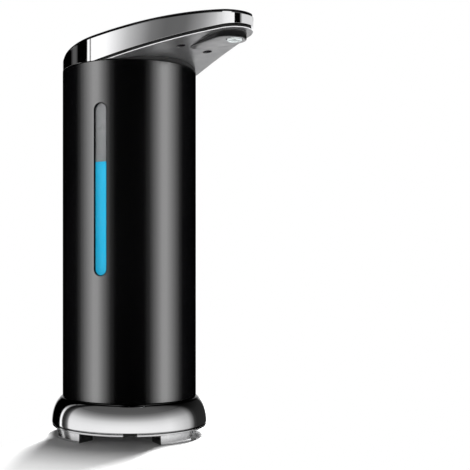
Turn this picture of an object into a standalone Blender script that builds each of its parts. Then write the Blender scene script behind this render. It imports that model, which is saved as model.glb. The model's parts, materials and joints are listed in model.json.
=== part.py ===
"""Automatic soap dispenser, battery powered, with a steel tube body and a banded metal head.

Everything is built round the tank's axis, which stands on an empty. The spout points towards -Y.
"along" is a distance from the tank's axis towards the spout's tip, "across" is a distance
towards +X, and heights are measured from the surface that the feet stand on.
"""

import math

import bmesh
import bpy
from mathutils import Matrix, Vector

MM = 0.001
MERGE = 0.00001
FULL_TURN = 2.0 * math.pi

# Driving dimensions of the whole object
BASE_OVERHANG = 5.2 * MM
SLEEVE_RADIUS = 32.3 * MM
SEAM_HEIGHT = 18.2 * MM
RIM_HEIGHT = 174.3 * MM
SPOUT_REACH = 75.8 * MM
TIP_RADIUS = 10.2 * MM
SIDE_RADIUS = 900.0 * MM

# Clearances
GAP = 0.3 * MM
CUT = 1.0 * MM

# Head: heights of its top and of its underside, above the rim of the sleeve
TOP_REAR_RISE = 2.5 * MM
TOP_REAR_HANDLE = 11.9 * MM
TOP_TIP_HANDLE = 19.8 * MM
TOP_TIP_RISE = 15.0 * MM
UNDER_AXIS_DROP = 3.95 * MM
UNDER_TIP_RISE = 7.7 * MM
UNDER_BULGE = 1.7 * MM

# Steps of round and curved shapes
ROUND_STEPS = 40
SMALL_STEPS = 16
TINY_STEPS = 10
CURVE_STEPS = 14
REAR_STEPS = 22
SIDE_STEPS = 3
TIP_STEPS = 10
SKIRT_STEPS = 7
FOOT_STEPS = 6
COIN_SLOT_STEPS = 6
LENS_STEPS = 120
SHARP_ANGLE = math.radians(35)

# Base ring, cover and feet
SKIRT_WALL = 1.5 * MM
SKIRT_FLARE = 7.5 * MM
LIP_HEIGHT = 5.95 * MM
FOOT_HEIGHT = 4.4 * MM
FOOT_DEPTH = 9.6 * MM
FOOT_SETBACK = 0.6 * MM
FOOT_SPAN = math.radians(28.4)
FOOT_COUNT = 4
COVER_TURN = math.radians(-4.5)
COVER_SETBACK = 0.3 * MM
COVER_SPIGOT_WALL = 1.5 * MM
COVER_SPIGOT_HEIGHT = 5.5 * MM
NOTCH_WIDTH = 6.3 * MM
NOTCH_DEPTH = 2.6 * MM
NOTCH_ANGLE = math.radians(-41.0)
SEAL_THICKNESS = 1.2 * MM

# Cells and their chamber
CELL_RADIUS = 5.25 * MM
CELL_LENGTH = 44.5 * MM
CELL_NUB_RADIUS = 1.9 * MM
CELL_NUB_HEIGHT = 1.0 * MM
CELL_COUNT = 4
CONTACT_THICKNESS = 0.4 * MM
CONTACT_SETBACK = 0.5 * MM
CONTACT_INNER_SETBACK = 1.2 * MM
HOLDER_PLAY = 0.5 * MM
HOLDER_WALL = 1.25 * MM
HOLDER_CORE_WALL = 1.75 * MM
HOLDER_SHORTFALL = 2.2 * MM
HOUSING_PLAY = 0.5 * MM
HOUSING_WALL = 1.8 * MM
DECK_THICKNESS = 2.0 * MM

# Sleeve, level slot and lens
SLEEVE_WALL = 0.8 * MM
SLOT_WIDTH = 6.6 * MM
SLOT_BOTTOM = 76.2 * MM
SLOT_DROP = 19.0 * MM
SLOT_ANGLE = math.radians(-65.8)
LENS_RECESS = 0.4 * MM
LENS_MARGIN = 0.3 * MM

# Tank and soap
TANK_PLAY = 0.6 * MM
TANK_WALL = 1.3 * MM
TANK_FLOOR = 2.0 * MM
SOAP_DROP = 26.6 * MM
LID_THICKNESS = 2.0 * MM
LID_PLUG_DEPTH = 3.3 * MM
LID_PLUG_WALL = 1.5 * MM
LID_DROP = 9.0 * MM

# Motor, gears and pump
MOTOR_ROOM = 2.8 * MM
MOTOR_LENGTH = 25.0 * MM
SHAFT_RADIUS = 1.0 * MM
SHAFT_SOCKET = 5.0 * MM
PINION_TEETH = 12
WHEEL_TEETH = 24
GEAR_WIDTH = 3.0 * MM
GEAR_LIFT = 0.6 * MM
ROTOR_MODULE = 1.0 * MM
ROTOR_TEETH = 8
ROTOR_WIDTH = 4.9 * MM
PUMP_WALL = 2.7 * MM
PUMP_ROOM = 1.0 * MM
PUMP_FLOOR = 1.5 * MM
PUMP_LEG_RADIUS = 2.0 * MM
PUMP_LEG_INSET = 3.6 * MM
PORT_OFFSET = 4.8 * MM
PORT_BORE = 1.4 * MM
NIPPLE_WALL = 1.0 * MM
NIPPLE_RISE = 5.0 * MM
STRAINER_WALL = 0.9 * MM
STRAINER_RISE = 6.0 * MM
RISER_WALL = 0.9 * MM
RISER_HEAD_ROOM = 1.2 * MM

# Wires
CONDUIT_ROOM = 5.6 * MM
CONDUIT_RADIUS = 3.0 * MM
CONDUIT_WALL = 0.8 * MM
CONDUIT_RISE = 4.0 * MM
LOOM_RADIUS = 1.2 * MM

# Collar between body and head
COLLAR_SETBACK = 0.4 * MM
COLLAR_WALL = 3.3 * MM

# Head shell, band and panel
SHELL_FLOOR = 1.5 * MM
SHELL_LIP = 0.85 * MM
SHELL_WALL = 1.2 * MM
SHELL_WALL_HEIGHT = 4.0 * MM
SHELL_MOUTH_MARGIN = 1.1 * MM
GROOVE_HEIGHT = 0.95 * MM
GROOVE_DEPTH = 0.8 * MM
BAND_WALL = 1.8 * MM
PANEL_EDGE = 0.9 * MM
PANEL_PLUG = 0.8 * MM
PANEL_OVERLAP = 0.4 * MM
PANEL_SETBACK = 0.4 * MM
PAD_FRONT_RADIUS = 7.8 * MM
PAD_SETBACK = 10.8 * MM
PAD_TAIL_RADIUS = 4.2 * MM
PAD_LENGTH = 19.0 * MM
PAD_RISE = 4.5 * MM

# Refill cap
CAP_OVERHANG = 2.0 * MM
CAP_PROUD = 0.2 * MM
CAP_PLAY = 0.8 * MM
CAP_PLUG_DEPTH = 8.0 * MM
CAP_GROOVE_DEPTH = 1.0 * MM
CAP_GROOVE_TOP = 4.0 * MM
CAP_GROOVE_HEIGHT = 1.8 * MM
CAP_SLOT_MARGIN = 6.0 * MM
CAP_SLOT_WIDTH = 2.4 * MM
CAP_SLOT_DEPTH = 0.9 * MM
NECK_ROOM = 2.0 * MM
NECK_CLEARANCE = 5.0 * MM
NECK_WALL = 1.8 * MM

# Buttons and light
BUTTON_ALONG = 30.0 * MM
BUTTON_ACROSS = 6.5 * MM
BUTTON_RADIUS = 3.2 * MM
BUTTON_PROUD = 0.5 * MM
BUTTON_FLANGE = 0.7 * MM
BUTTON_FLANGE_HEIGHT = 0.5 * MM
BUTTON_TRAVEL = 0.6 * MM
MARK_LENGTH = 3.0 * MM
MARK_WIDTH = 0.6 * MM
MARK_DEPTH = 0.3 * MM
DOME_RADIUS = 2.4 * MM
DOME_HEIGHT = 0.3 * MM
LIGHT_ALONG = 22.5 * MM
LIGHT_RADIUS = 1.2 * MM

# Circuit board and sensors
BOARD_START = 20.0 * MM
BOARD_MARGIN = 2.4 * MM
BOARD_HALF_WIDTH = 11.8 * MM
BOARD_THICKNESS = 1.2 * MM
BOARD_EDGE_DROP = 3.1 * MM
SENSOR_LEAD = 14.2 * MM
SENSOR_ACROSS = 8.5 * MM
SENSOR_RADIUS = 1.5 * MM
WINDOW_RADIUS = 1.6 * MM
WINDOW_RECESS = 0.35 * MM

# Nozzle and hose
NOZZLE_SETBACK = 7.4 * MM
NOZZLE_RADIUS = 3.3 * MM
NOZZLE_BORE = 1.3 * MM
NOZZLE_MOUTH = 2.3 * MM
NOZZLE_MOUTH_DEPTH = 4.0 * MM
NOZZLE_DROP = 0.8 * MM
NOZZLE_HEIGHT = 10.0 * MM
NOZZLE_INLET_DROP = 1.3 * MM
NOZZLE_INLET_RADIUS = 1.2 * MM
VALVE_LENGTH = 3.0 * MM
VALVE_TIP_RADIUS = 0.9 * MM
HOSE_RADIUS = 2.0 * MM
HOSE_BORE = 1.2 * MM
HOSE_BEND = 4.4 * MM
HOSE_HANDLE_SHARE = 0.6
HOSE_STEPS = 10
HOSE_SIDES = 8

# Screws that hold the head
SCREW_INSET = 3.2 * MM
SCREW_ANGLES = (math.radians(70), math.radians(105), math.radians(-105), math.radians(-70))
SCREW_SHANK = 0.8 * MM
SCREW_LENGTH = 5.0 * MM
SCREW_HEAD_RADIUS = 1.6 * MM
SCREW_HEAD_HEIGHT = 1.0 * MM

# Sizes that follow from the ones above
BASE_RADIUS = SLEEVE_RADIUS + BASE_OVERHANG
AXIS_Y = (SPOUT_REACH - BASE_RADIUS) / 2
TIP_CENTRE = SPOUT_REACH - TIP_RADIUS
SLEEVE_INNER = SLEEVE_RADIUS - SLEEVE_WALL
HOUSING_OUTER = SLEEVE_INNER - HOUSING_PLAY
HOUSING_INNER = HOUSING_OUTER - HOUSING_WALL
HOLDER_OUTER_RADIUS = HOUSING_INNER - GAP - COVER_SPIGOT_WALL - HOLDER_PLAY
CONTACT_OUTER_RADIUS = HOLDER_OUTER_RADIUS - CONTACT_SETBACK
CELL_CIRCLE = HOLDER_OUTER_RADIUS - HOLDER_WALL - GAP - CELL_RADIUS
HOLDER_INNER_RADIUS = CELL_CIRCLE - CELL_RADIUS - GAP - HOLDER_CORE_WALL
CONTACT_INNER_RADIUS = HOLDER_INNER_RADIUS + CONTACT_INNER_SETBACK
MOTOR_RADIUS = HOLDER_INNER_RADIUS - MOTOR_ROOM
TANK_OUTER = SLEEVE_INNER - TANK_PLAY
TANK_INNER = TANK_OUTER - TANK_WALL
SLOT_TOP = RIM_HEIGHT - SLOT_DROP
SOAP_LEVEL = SLOT_TOP - SOAP_DROP
COVER_TOP = LIP_HEIGHT - GAP
HOUSING_BOTTOM = COVER_TOP + GAP + SEAL_THICKNESS + GAP
CELL_BOTTOM = COVER_TOP + GAP + CONTACT_THICKNESS + GAP
CELL_TOP = CELL_BOTTOM + CELL_LENGTH
DECK_BOTTOM = CELL_TOP + GAP + CONTACT_THICKNESS + GAP
DECK_TOP = DECK_BOTTOM + DECK_THICKNESS
GEAR_BOTTOM = DECK_TOP + GEAR_LIFT
GEAR_TOP = GEAR_BOTTOM + GEAR_WIDTH
ROTOR_TIP_RADIUS = ROTOR_MODULE * (ROTOR_TEETH / 2 + 1)
PUMP_CAVITY = ROTOR_TIP_RADIUS + GAP
IDLER_ALONG = TANK_INNER - PUMP_ROOM - PUMP_WALL - PUMP_CAVITY
WHEEL_ALONG = IDLER_ALONG - ROTOR_MODULE * ROTOR_TEETH
GEAR_MODULE = 2 * WHEEL_ALONG / (PINION_TEETH + WHEEL_TEETH)
PUMP_BOTTOM = GEAR_TOP + GEAR_LIFT
ROTOR_BOTTOM = PUMP_BOTTOM + PUMP_FLOOR + GAP
ROTOR_TOP = ROTOR_BOTTOM + ROTOR_WIDTH
PUMP_TOP = ROTOR_TOP + GAP
PUMP_LID_BOTTOM = PUMP_TOP + GAP
PUMP_LID_TOP = PUMP_LID_BOTTOM + PUMP_FLOOR
TANK_FLOOR_BOTTOM = PUMP_LID_TOP + GAP
TANK_FLOOR_TOP = TANK_FLOOR_BOTTOM + TANK_FLOOR
PORT_ALONG = (WHEEL_ALONG + IDLER_ALONG) / 2
NIPPLE_RADIUS = PORT_BORE + NIPPLE_WALL
NIPPLE_TOP = TANK_FLOOR_TOP + NIPPLE_RISE
RISER_BORE = NIPPLE_RADIUS + GAP
RISER_RADIUS = RISER_BORE + RISER_WALL
HEAD_BASE = RIM_HEIGHT + GAP
RISER_TOP = HEAD_BASE + RISER_HEAD_ROOM
LID_TOP = RIM_HEIGHT - LID_DROP
LID_BOTTOM = LID_TOP - LID_THICKNESS
TANK_TOP = LID_BOTTOM - GAP
CONDUIT_BACK = TANK_INNER - CONDUIT_ROOM - CONDUIT_RADIUS
NECK_FRONT = PORT_ALONG - RISER_RADIUS - NECK_CLEARANCE
NECK_BACK = CONDUIT_BACK - CONDUIT_RADIUS - NECK_ROOM
CAP_BACK = (NECK_BACK - NECK_FRONT) / 2
NECK_BORE = (NECK_BACK + NECK_FRONT) / 2 - NECK_WALL
CAP_PLUG_RADIUS = NECK_BORE - CAP_PLAY
CAP_RADIUS = NECK_BORE + NECK_WALL + CAP_OVERHANG
CAP_SLOT_LENGTH = 2 * (CAP_RADIUS - CAP_SLOT_MARGIN)
COLLAR_RADIUS = SLEEVE_RADIUS - COLLAR_SETBACK
COLLAR_OUTER = SLEEVE_INNER - GAP
COLLAR_INNER = COLLAR_OUTER - COLLAR_WALL
SCREW_CIRCLE = COLLAR_RADIUS - SCREW_INSET
SHELL_MOUTH_RADIUS = SCREW_CIRCLE - SCREW_HEAD_RADIUS - SHELL_MOUTH_MARGIN
PANEL_DEPTH = PANEL_EDGE + PANEL_PLUG
BAND_INNER_INSET = BAND_WALL + GAP
PAD_FRONT = SPOUT_REACH - PAD_SETBACK
PAD_TAIL = PAD_FRONT - PAD_LENGTH
PAD_FACE = RIM_HEIGHT + PAD_RISE
SENSOR_ALONG = BUTTON_ALONG + SENSOR_LEAD
BOARD_END = SENSOR_ALONG + BOARD_MARGIN
NOZZLE_ALONG = SPOUT_REACH - NOZZLE_SETBACK
NOZZLE_BOTTOM = PAD_FACE - NOZZLE_DROP
NOZZLE_TOP = NOZZLE_BOTTOM + NOZZLE_HEIGHT


def clear_scene():
    for thing in list(bpy.data.objects):
        bpy.data.objects.remove(thing, do_unlink=True)


def finish(name, colour, roughness, metallic=0.0):
    """A plain painted, moulded or metal finish."""
    made = bpy.data.materials.new(name)
    made.use_nodes = True
    shader = made.node_tree.nodes["Principled BSDF"]
    shader.inputs["Base Color"].default_value = (*colour, 1.0)
    shader.inputs["Roughness"].default_value = roughness
    shader.inputs["Metallic"].default_value = metallic
    return made


def empty(name, location, parent=None):
    made = bpy.data.objects.new(name, None)
    made.location = location
    made.parent = parent
    bpy.context.collection.objects.link(made)
    return made


def finished(name, shape, material, parent):
    """Turn a bmesh into a named object whose faces point out."""
    bmesh.ops.recalc_face_normals(shape, faces=shape.faces)
    mesh = bpy.data.meshes.new(name)
    shape.to_mesh(mesh)
    shape.free()
    mesh.shade_smooth()
    mesh.set_sharp_from_angle(angle=SHARP_ANGLE)
    made = bpy.data.objects.new(name, mesh)
    if material:
        mesh.materials.append(material)
    made.parent = parent
    bpy.context.collection.objects.link(made)
    return made


def turned(name, profile, material, parent, at=(0, 0, 0), steps=ROUND_STEPS):
    """A solid turned round its own Z axis from the (radius, height) points of its section."""
    shape = bmesh.new()
    points = [shape.verts.new((radius, 0, height)) for radius, height in profile]
    edges = []
    for first, second in zip(points, points[1:] + points[:1]):
        if first.co.x > 0 or second.co.x > 0:
            edges.append(shape.edges.new((first, second)))
    bmesh.ops.spin(shape, geom=points + edges, cent=(0, 0, 0), axis=(0, 0, 1), angle=FULL_TURN,
                   steps=steps, use_merge=True)
    bmesh.ops.remove_doubles(shape, verts=shape.verts, dist=MERGE)
    made = finished(name, shape, material, parent)
    made.location = at
    return made


def ring(name, inner, outer, low, high, material, parent, at=(0, 0, 0), steps=ROUND_STEPS):
    """A plain turned ring, or a disc where the inner radius is zero."""
    profile = [(inner, low), (outer, low), (outer, high), (inner, high)]
    return turned(name, profile, material, parent, at, steps)


def prism(name, outline, low, high, material, parent, at=(0, 0, 0)):
    """An outline of (x, y) points pulled up from one height to another."""
    shape = bmesh.new()
    face = shape.faces.new([shape.verts.new((x, y, low)) for x, y in outline])
    pulled = bmesh.ops.extrude_face_region(shape, geom=[face])["geom"]
    lifted = [item for item in pulled if isinstance(item, bmesh.types.BMVert)]
    bmesh.ops.translate(shape, verts=lifted, vec=(0, 0, high - low))
    made = finished(name, shape, material, parent)
    made.location = at
    return made


def slab(name, lower, upper, start, end, half_width, material, parent):
    """A plate whose lower and upper faces follow two height functions along the spout."""
    stations = [start + (end - start) * step / CURVE_STEPS for step in range(CURVE_STEPS + 1)]
    outline = [(along, lower(along)) for along in stations]
    outline += [(along, upper(along)) for along in reversed(stations)]
    shape = bmesh.new()
    face = shape.faces.new([shape.verts.new((-half_width, -along, z)) for along, z in outline])
    pulled = bmesh.ops.extrude_face_region(shape, geom=[face])["geom"]
    moved = [item for item in pulled if isinstance(item, bmesh.types.BMVert)]
    bmesh.ops.translate(shape, verts=moved, vec=(2 * half_width, 0, 0))
    return finished(name, shape, material, parent)


def combine(target, tool, operation):
    """Join, cut or intersect the target with a hidden tool."""
    modifier = target.modifiers.new(f"{operation.lower()}_{tool.name}", "BOOLEAN")
    modifier.operation = operation
    modifier.solver = "EXACT"
    modifier.object = tool
    tool.hide_render = True
    tool.display_type = "WIRE"


def cut(target, tool):
    combine(target, tool, "DIFFERENCE")


def join(target, tool):
    combine(target, tool, "UNION")


def keep(target, tool):
    combine(target, tool, "INTERSECT")


def arc(centre, radius, start, end, steps):
    """Points on an arc, both ends included."""
    angles = [start + (end - start) * step / steps for step in range(steps + 1)]
    return [(centre[0] + radius * math.cos(a), centre[1] + radius * math.sin(a)) for a in angles]


def at_angle(radius, angle):
    """The (x, y) place at an angle from the spout's direction, positive towards +X."""
    return radius * math.sin(angle), -radius * math.cos(angle)


def egg_outline(inset):
    """The head seen from above: a round back, two nearly straight sides and a round tip."""
    side_to_back = SIDE_RADIUS - SLEEVE_RADIUS
    side_to_tip = SIDE_RADIUS - TIP_RADIUS
    centre_along = (side_to_back**2 - side_to_tip**2 + TIP_CENTRE**2) / (2 * TIP_CENTRE)
    centre_across = math.sqrt(side_to_back**2 - centre_along**2)
    back_angle = math.atan2(centre_across, -centre_along)
    tip_angle = math.atan2(centre_across, TIP_CENTRE - centre_along)
    back = arc((0, 0), SLEEVE_RADIUS - inset, back_angle, FULL_TURN - back_angle, REAR_STEPS)
    lower_side = arc((centre_along, centre_across), SIDE_RADIUS - inset,
                     -back_angle, -tip_angle, SIDE_STEPS)
    tip = arc((TIP_CENTRE, 0), TIP_RADIUS - inset, -tip_angle, tip_angle, TIP_STEPS)
    upper_side = arc((centre_along, -centre_across), SIDE_RADIUS - inset,
                     tip_angle, back_angle, SIDE_STEPS)
    outline = back[:-1] + lower_side[:-1] + tip[:-1] + upper_side[:-1]
    return [(across, -along) for along, across in outline]


def pad_outline():
    """The teardrop pad round the nozzle: two circles joined by straight sides."""
    lean = math.acos((PAD_FRONT_RADIUS - PAD_TAIL_RADIUS) / (PAD_FRONT - PAD_TAIL))
    front = math.pi - lean
    outline = arc((PAD_FRONT, 0), PAD_FRONT_RADIUS, -front, front, TIP_STEPS)
    outline += arc((PAD_TAIL, 0), PAD_TAIL_RADIUS, front, FULL_TURN - front, TIP_STEPS)
    return [(across, -along) for along, across in outline]


def capsule_outline(half_length, radius, steps):
    """Two half circles joined by straight sides, long along Y."""
    outline = arc((0, half_length), radius, 0, math.pi, steps)
    outline += arc((0, -half_length), radius, math.pi, FULL_TURN, steps)
    return outline


def gear_outline(teeth, module, turn):
    """Straight sided teeth, thinned a little for backlash."""
    root_share = 0.31
    tip_share = 0.10
    root_depth_share = 1.25
    pitch_radius = module * teeth / 2
    pitch = FULL_TURN / teeth
    root = pitch_radius - module * root_depth_share
    outline = []
    for tooth in range(teeth):
        middle = turn + tooth * pitch
        corners = ((root, -root_share), (pitch_radius + module, -tip_share),
                   (pitch_radius + module, tip_share), (root, root_share))
        for radius, share in corners:
            angle = middle + share * pitch
            outline.append((radius * math.cos(angle), radius * math.sin(angle)))
    return outline


def top_height(along):
    """Height of the head's top: a cubic curve from the back to the tip."""
    share = (along + SLEEVE_RADIUS) / (SLEEVE_RADIUS + SPOUT_REACH)
    rest = 1 - share
    rise = (rest**3 * TOP_REAR_RISE + 3 * rest**2 * share * TOP_REAR_HANDLE
            + 3 * rest * share**2 * TOP_TIP_HANDLE + share**3 * TOP_TIP_RISE)
    return RIM_HEIGHT + rise


def top_slope(along):
    """Angle of the head's top along the spout."""
    step = SPOUT_REACH / CURVE_STEPS
    return math.atan2(top_height(along + step) - top_height(along - step), 2 * step)


def under_curve(along):
    """Height of the spout's underside, carried on under the body."""
    share = along / SPOUT_REACH
    rise = -UNDER_AXIS_DROP + (UNDER_TIP_RISE + UNDER_AXIS_DROP) * share
    return RIM_HEIGHT + rise + 4 * UNDER_BULGE * share * (1 - share)


def under_height(along):
    """Height of the head's lower face, which is flat where it sits on the body."""
    return max(under_curve(along), HEAD_BASE)


def leaves_rim(rise):
    """How far along a line this high above the underside comes up over the rim."""
    along = 0.0
    step = SPOUT_REACH / CURVE_STEPS**2
    while under_curve(along) + rise < HEAD_BASE and along < SPOUT_REACH:
        along += step
    return along


def lip_top(along):
    return max(under_curve(along) + SHELL_LIP, HEAD_BASE)


def groove_top(along):
    return max(under_curve(along) + SHELL_LIP + GROOVE_HEIGHT, HEAD_BASE)


def half_floor(along):
    return under_height(along) + SHELL_FLOOR / 2


def floor_top(along):
    return under_height(along) + SHELL_FLOOR


def panel_bottom(along):
    """Lower face of the top panel's plug, kept clear of the shell's floor at the back."""
    return max(top_height(along) - PANEL_DEPTH, floor_top(along) + GAP)


def head_solid(name, inset, lower, upper, material, parent, start=-SLEEVE_RADIUS - CUT):
    """The head's outline, drawn in by an inset, between two height functions."""
    made = slab(name, lower, upper, start, SPOUT_REACH + CUT, SLEEVE_RADIUS + CUT, material, parent)
    column = prism(f"{name}_outline", egg_outline(inset), RIM_HEIGHT - LID_DROP,
                   RIM_HEIGHT + TOP_TIP_HANDLE + CUT, None, parent)
    keep(made, column)
    return made


def swept_tube(name, points, outer, inner, material, parent):
    """A hose of constant section along a list of points, hollow where it has a bore."""
    shape = bmesh.new()
    radii = [outer, inner] if inner else [outer]
    rings = {radius: [] for radius in radii}
    normal = None
    for index, point in enumerate(points):
        before = points[max(index - 1, 0)]
        after = points[min(index + 1, len(points) - 1)]
        tangent = (after - before).normalized()
        if normal is None:
            normal = tangent.orthogonal().normalized()
        normal = (normal - tangent * normal.dot(tangent)).normalized()
        side = tangent.cross(normal)
        for radius in radii:
            loop = []
            for step in range(HOSE_SIDES):
                angle = FULL_TURN * step / HOSE_SIDES
                offset = normal * math.cos(angle) + side * math.sin(angle)
                loop.append(shape.verts.new(point + offset * radius))
            rings[radius].append(loop)
    for radius in radii:
        for first, second in zip(rings[radius], rings[radius][1:]):
            for step in range(HOSE_SIDES):
                after = (step + 1) % HOSE_SIDES
                shape.faces.new((first[step], first[after], second[after], second[step]))
    for end in (0, -1):
        if inner:
            for step in range(HOSE_SIDES):
                after = (step + 1) % HOSE_SIDES
                shape.faces.new((rings[outer][end][step], rings[outer][end][after],
                                 rings[inner][end][after], rings[inner][end][step]))
        else:
            shape.faces.new(rings[outer][end])
    return finished(name, shape, material, parent)


def bezier(start, start_handle, end_handle, end, steps):
    """Points on a cubic curve, the first one left out."""
    points = []
    for step in range(1, steps + 1):
        share = step / steps
        rest = 1 - share
        points.append(start * rest**3 + start_handle * (3 * rest**2 * share)
                      + end_handle * (3 * rest * share**2) + end * share**3)
    return points


def spot(along, across, height):
    return Vector((across, -along, height))


def base_skirt(axis, chrome):
    """The flared ring: a quarter ellipse outside, a smaller one inside and a ledge on top."""
    top_radius = SLEEVE_RADIUS + GAP
    centre = BASE_RADIUS - SKIRT_FLARE
    top_angle = math.acos((top_radius - centre) / SKIRT_FLARE)
    rise = (SEAM_HEIGHT - LIP_HEIGHT) / math.sin(top_angle)
    inner_flare = SKIRT_FLARE - SKIRT_WALL
    inner_rise = rise - SKIRT_WALL
    ledge = HOUSING_OUTER + GAP
    inner_angle = math.acos((ledge - centre) / inner_flare)
    steps = SKIRT_STEPS
    outer = [(centre + SKIRT_FLARE * math.cos(top_angle * step / steps),
              LIP_HEIGHT + rise * math.sin(top_angle * step / steps)) for step in range(steps + 1)]
    inner = [(centre + inner_flare * math.cos(inner_angle * step / steps),
              LIP_HEIGHT + inner_rise * math.sin(inner_angle * step / steps))
             for step in range(steps, -1, -1)]
    turned("base_skirt", outer + [(ledge, SEAM_HEIGHT)] + inner, chrome, axis)


def bottom_cover(axis, plastic):
    """The cover: plate, spigot, four feet and the notch in its rim."""
    spigot_outer = HOUSING_INNER - GAP
    spigot_inner = spigot_outer - COVER_SPIGOT_WALL
    spigot_top = COVER_TOP + COVER_SPIGOT_HEIGHT
    rim = BASE_RADIUS - COVER_SETBACK
    cover = turned("bottom_cover", [
        (0, FOOT_HEIGHT), (rim, FOOT_HEIGHT), (rim, COVER_TOP), (spigot_outer, COVER_TOP),
        (spigot_outer, spigot_top), (spigot_inner, spigot_top), (spigot_inner, COVER_TOP),
        (0, COVER_TOP)], plastic, axis)
    inside_plate = (FOOT_HEIGHT + COVER_TOP) / 2
    foot_outer = rim - FOOT_SETBACK
    for number in range(FOOT_COUNT):
        middle = COVER_TURN + FULL_TURN * number / FOOT_COUNT - math.pi / 2
        start = middle - FOOT_SPAN / 2
        end = middle + FOOT_SPAN / 2
        outline = arc((0, 0), foot_outer, start, end, FOOT_STEPS)
        outline += arc((0, 0), foot_outer - FOOT_DEPTH, end, start, FOOT_STEPS)
        foot = prism(f"foot_{number + 1}", outline, 0, inside_plate, None, axis)
        join(cover, foot)
    notch_middle = rim - NOTCH_DEPTH / 2 + CUT / 2
    half = (NOTCH_DEPTH + CUT) / 2
    outline = [(-NOTCH_WIDTH / 2, -half), (NOTCH_WIDTH / 2, -half),
               (NOTCH_WIDTH / 2, half), (-NOTCH_WIDTH / 2, half)]
    x, y = at_angle(notch_middle, NOTCH_ANGLE)
    notch = prism("notch", outline, FOOT_HEIGHT - CUT, COVER_TOP + CUT, None, axis, (x, y, 0))
    notch.rotation_euler = (0, 0, NOTCH_ANGLE)
    cut(cover, notch)


def battery_space(axis, looks):
    """Cover seal, contacts, holder, cells and the chamber with its deck."""
    ring("cover_seal", HOUSING_INNER, HOUSING_OUTER, COVER_TOP + GAP,
         COVER_TOP + GAP + SEAL_THICKNESS, looks["rubber"], axis)
    ring("cover_contact", CONTACT_INNER_RADIUS, CONTACT_OUTER_RADIUS, COVER_TOP + GAP,
         COVER_TOP + GAP + CONTACT_THICKNESS, looks["brass"], axis)
    ring("top_contact", CONTACT_INNER_RADIUS, CONTACT_OUTER_RADIUS, CELL_TOP + GAP,
         CELL_TOP + GAP + CONTACT_THICKNESS, looks["brass"], axis)
    holder = ring("battery_holder", HOLDER_INNER_RADIUS, HOLDER_OUTER_RADIUS, CELL_BOTTOM,
                  CELL_TOP - HOLDER_SHORTFALL, looks["black_plastic"], axis)
    for number in range(CELL_COUNT):
        angle = FULL_TURN * (number + 0.5) / CELL_COUNT
        x, y = at_angle(CELL_CIRCLE, angle)
        pocket = ring(f"pocket_{number + 1}", 0, CELL_RADIUS + GAP, CELL_BOTTOM - CUT, CELL_TOP,
                      None, axis, (x, y, 0), SMALL_STEPS)
        cut(holder, pocket)
        battery_cell(f"battery_{number + 1}", (x, y, 0), number % 2 == 0, looks["cell"], axis)
    housing = turned("battery_housing", [
        (HOUSING_INNER, HOUSING_BOTTOM), (HOUSING_OUTER, HOUSING_BOTTOM), (HOUSING_OUTER, DECK_TOP),
        (0, DECK_TOP), (0, DECK_BOTTOM), (HOUSING_INNER, DECK_BOTTOM)], looks["black_plastic"], axis)
    shaft_hole = ring("shaft_hole", 0, SHAFT_RADIUS + GAP, DECK_BOTTOM - CUT, DECK_TOP + CUT,
                      None, axis, steps=TINY_STEPS)
    wire_hole = ring("wire_hole", 0, LOOM_RADIUS + GAP, DECK_BOTTOM - CUT, DECK_TOP + CUT,
                     None, axis, (0, CONDUIT_BACK, 0), TINY_STEPS)
    cut(housing, shaft_hole)
    cut(housing, wire_hole)


def battery_cell(name, place, upright, material, axis):
    """A cell with its nub; the cells stand alternately up and down."""
    nub_end = CELL_TOP if upright else CELL_BOTTOM
    shoulder = CELL_TOP - CELL_NUB_HEIGHT if upright else CELL_BOTTOM + CELL_NUB_HEIGHT
    flat = CELL_BOTTOM if upright else CELL_TOP
    turned(name, [(0, flat), (CELL_RADIUS, flat), (CELL_RADIUS, shoulder),
                  (CELL_NUB_RADIUS, shoulder), (CELL_NUB_RADIUS, nub_end), (0, nub_end)],
           material, axis, place, SMALL_STEPS)


def motor(axis, looks):
    """The motor hangs under the deck; its shaft carries the pinion above it."""
    top = DECK_BOTTOM - GAP
    case = ring("motor_case", 0, MOTOR_RADIUS, top - MOTOR_LENGTH, top, looks["steel"], axis,
                steps=SMALL_STEPS)
    socket = ring("motor_socket", 0, SHAFT_RADIUS + GAP, top - SHAFT_SOCKET, top + CUT, None, axis,
                  steps=TINY_STEPS)
    cut(case, socket)
    ring("motor_shaft", 0, SHAFT_RADIUS, top - SHAFT_SOCKET + GAP, GEAR_TOP + GAP, looks["steel"],
         axis, steps=TINY_STEPS)
    gear("motor_pinion", PINION_TEETH, GEAR_MODULE, 0, 0, GEAR_BOTTOM, GEAR_TOP, looks["brass"], axis)


def gear(name, teeth, module, along, turn, low, high, material, axis):
    """A toothed wheel with a bore for its shaft."""
    wheel = prism(name, gear_outline(teeth, module, turn), low, high, material, axis, (0, -along, 0))
    bore = ring(f"{name}_bore", 0, SHAFT_RADIUS + GAP, low - CUT, high + CUT, None, axis,
                (0, -along, 0), TINY_STEPS)
    cut(wheel, bore)


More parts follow.
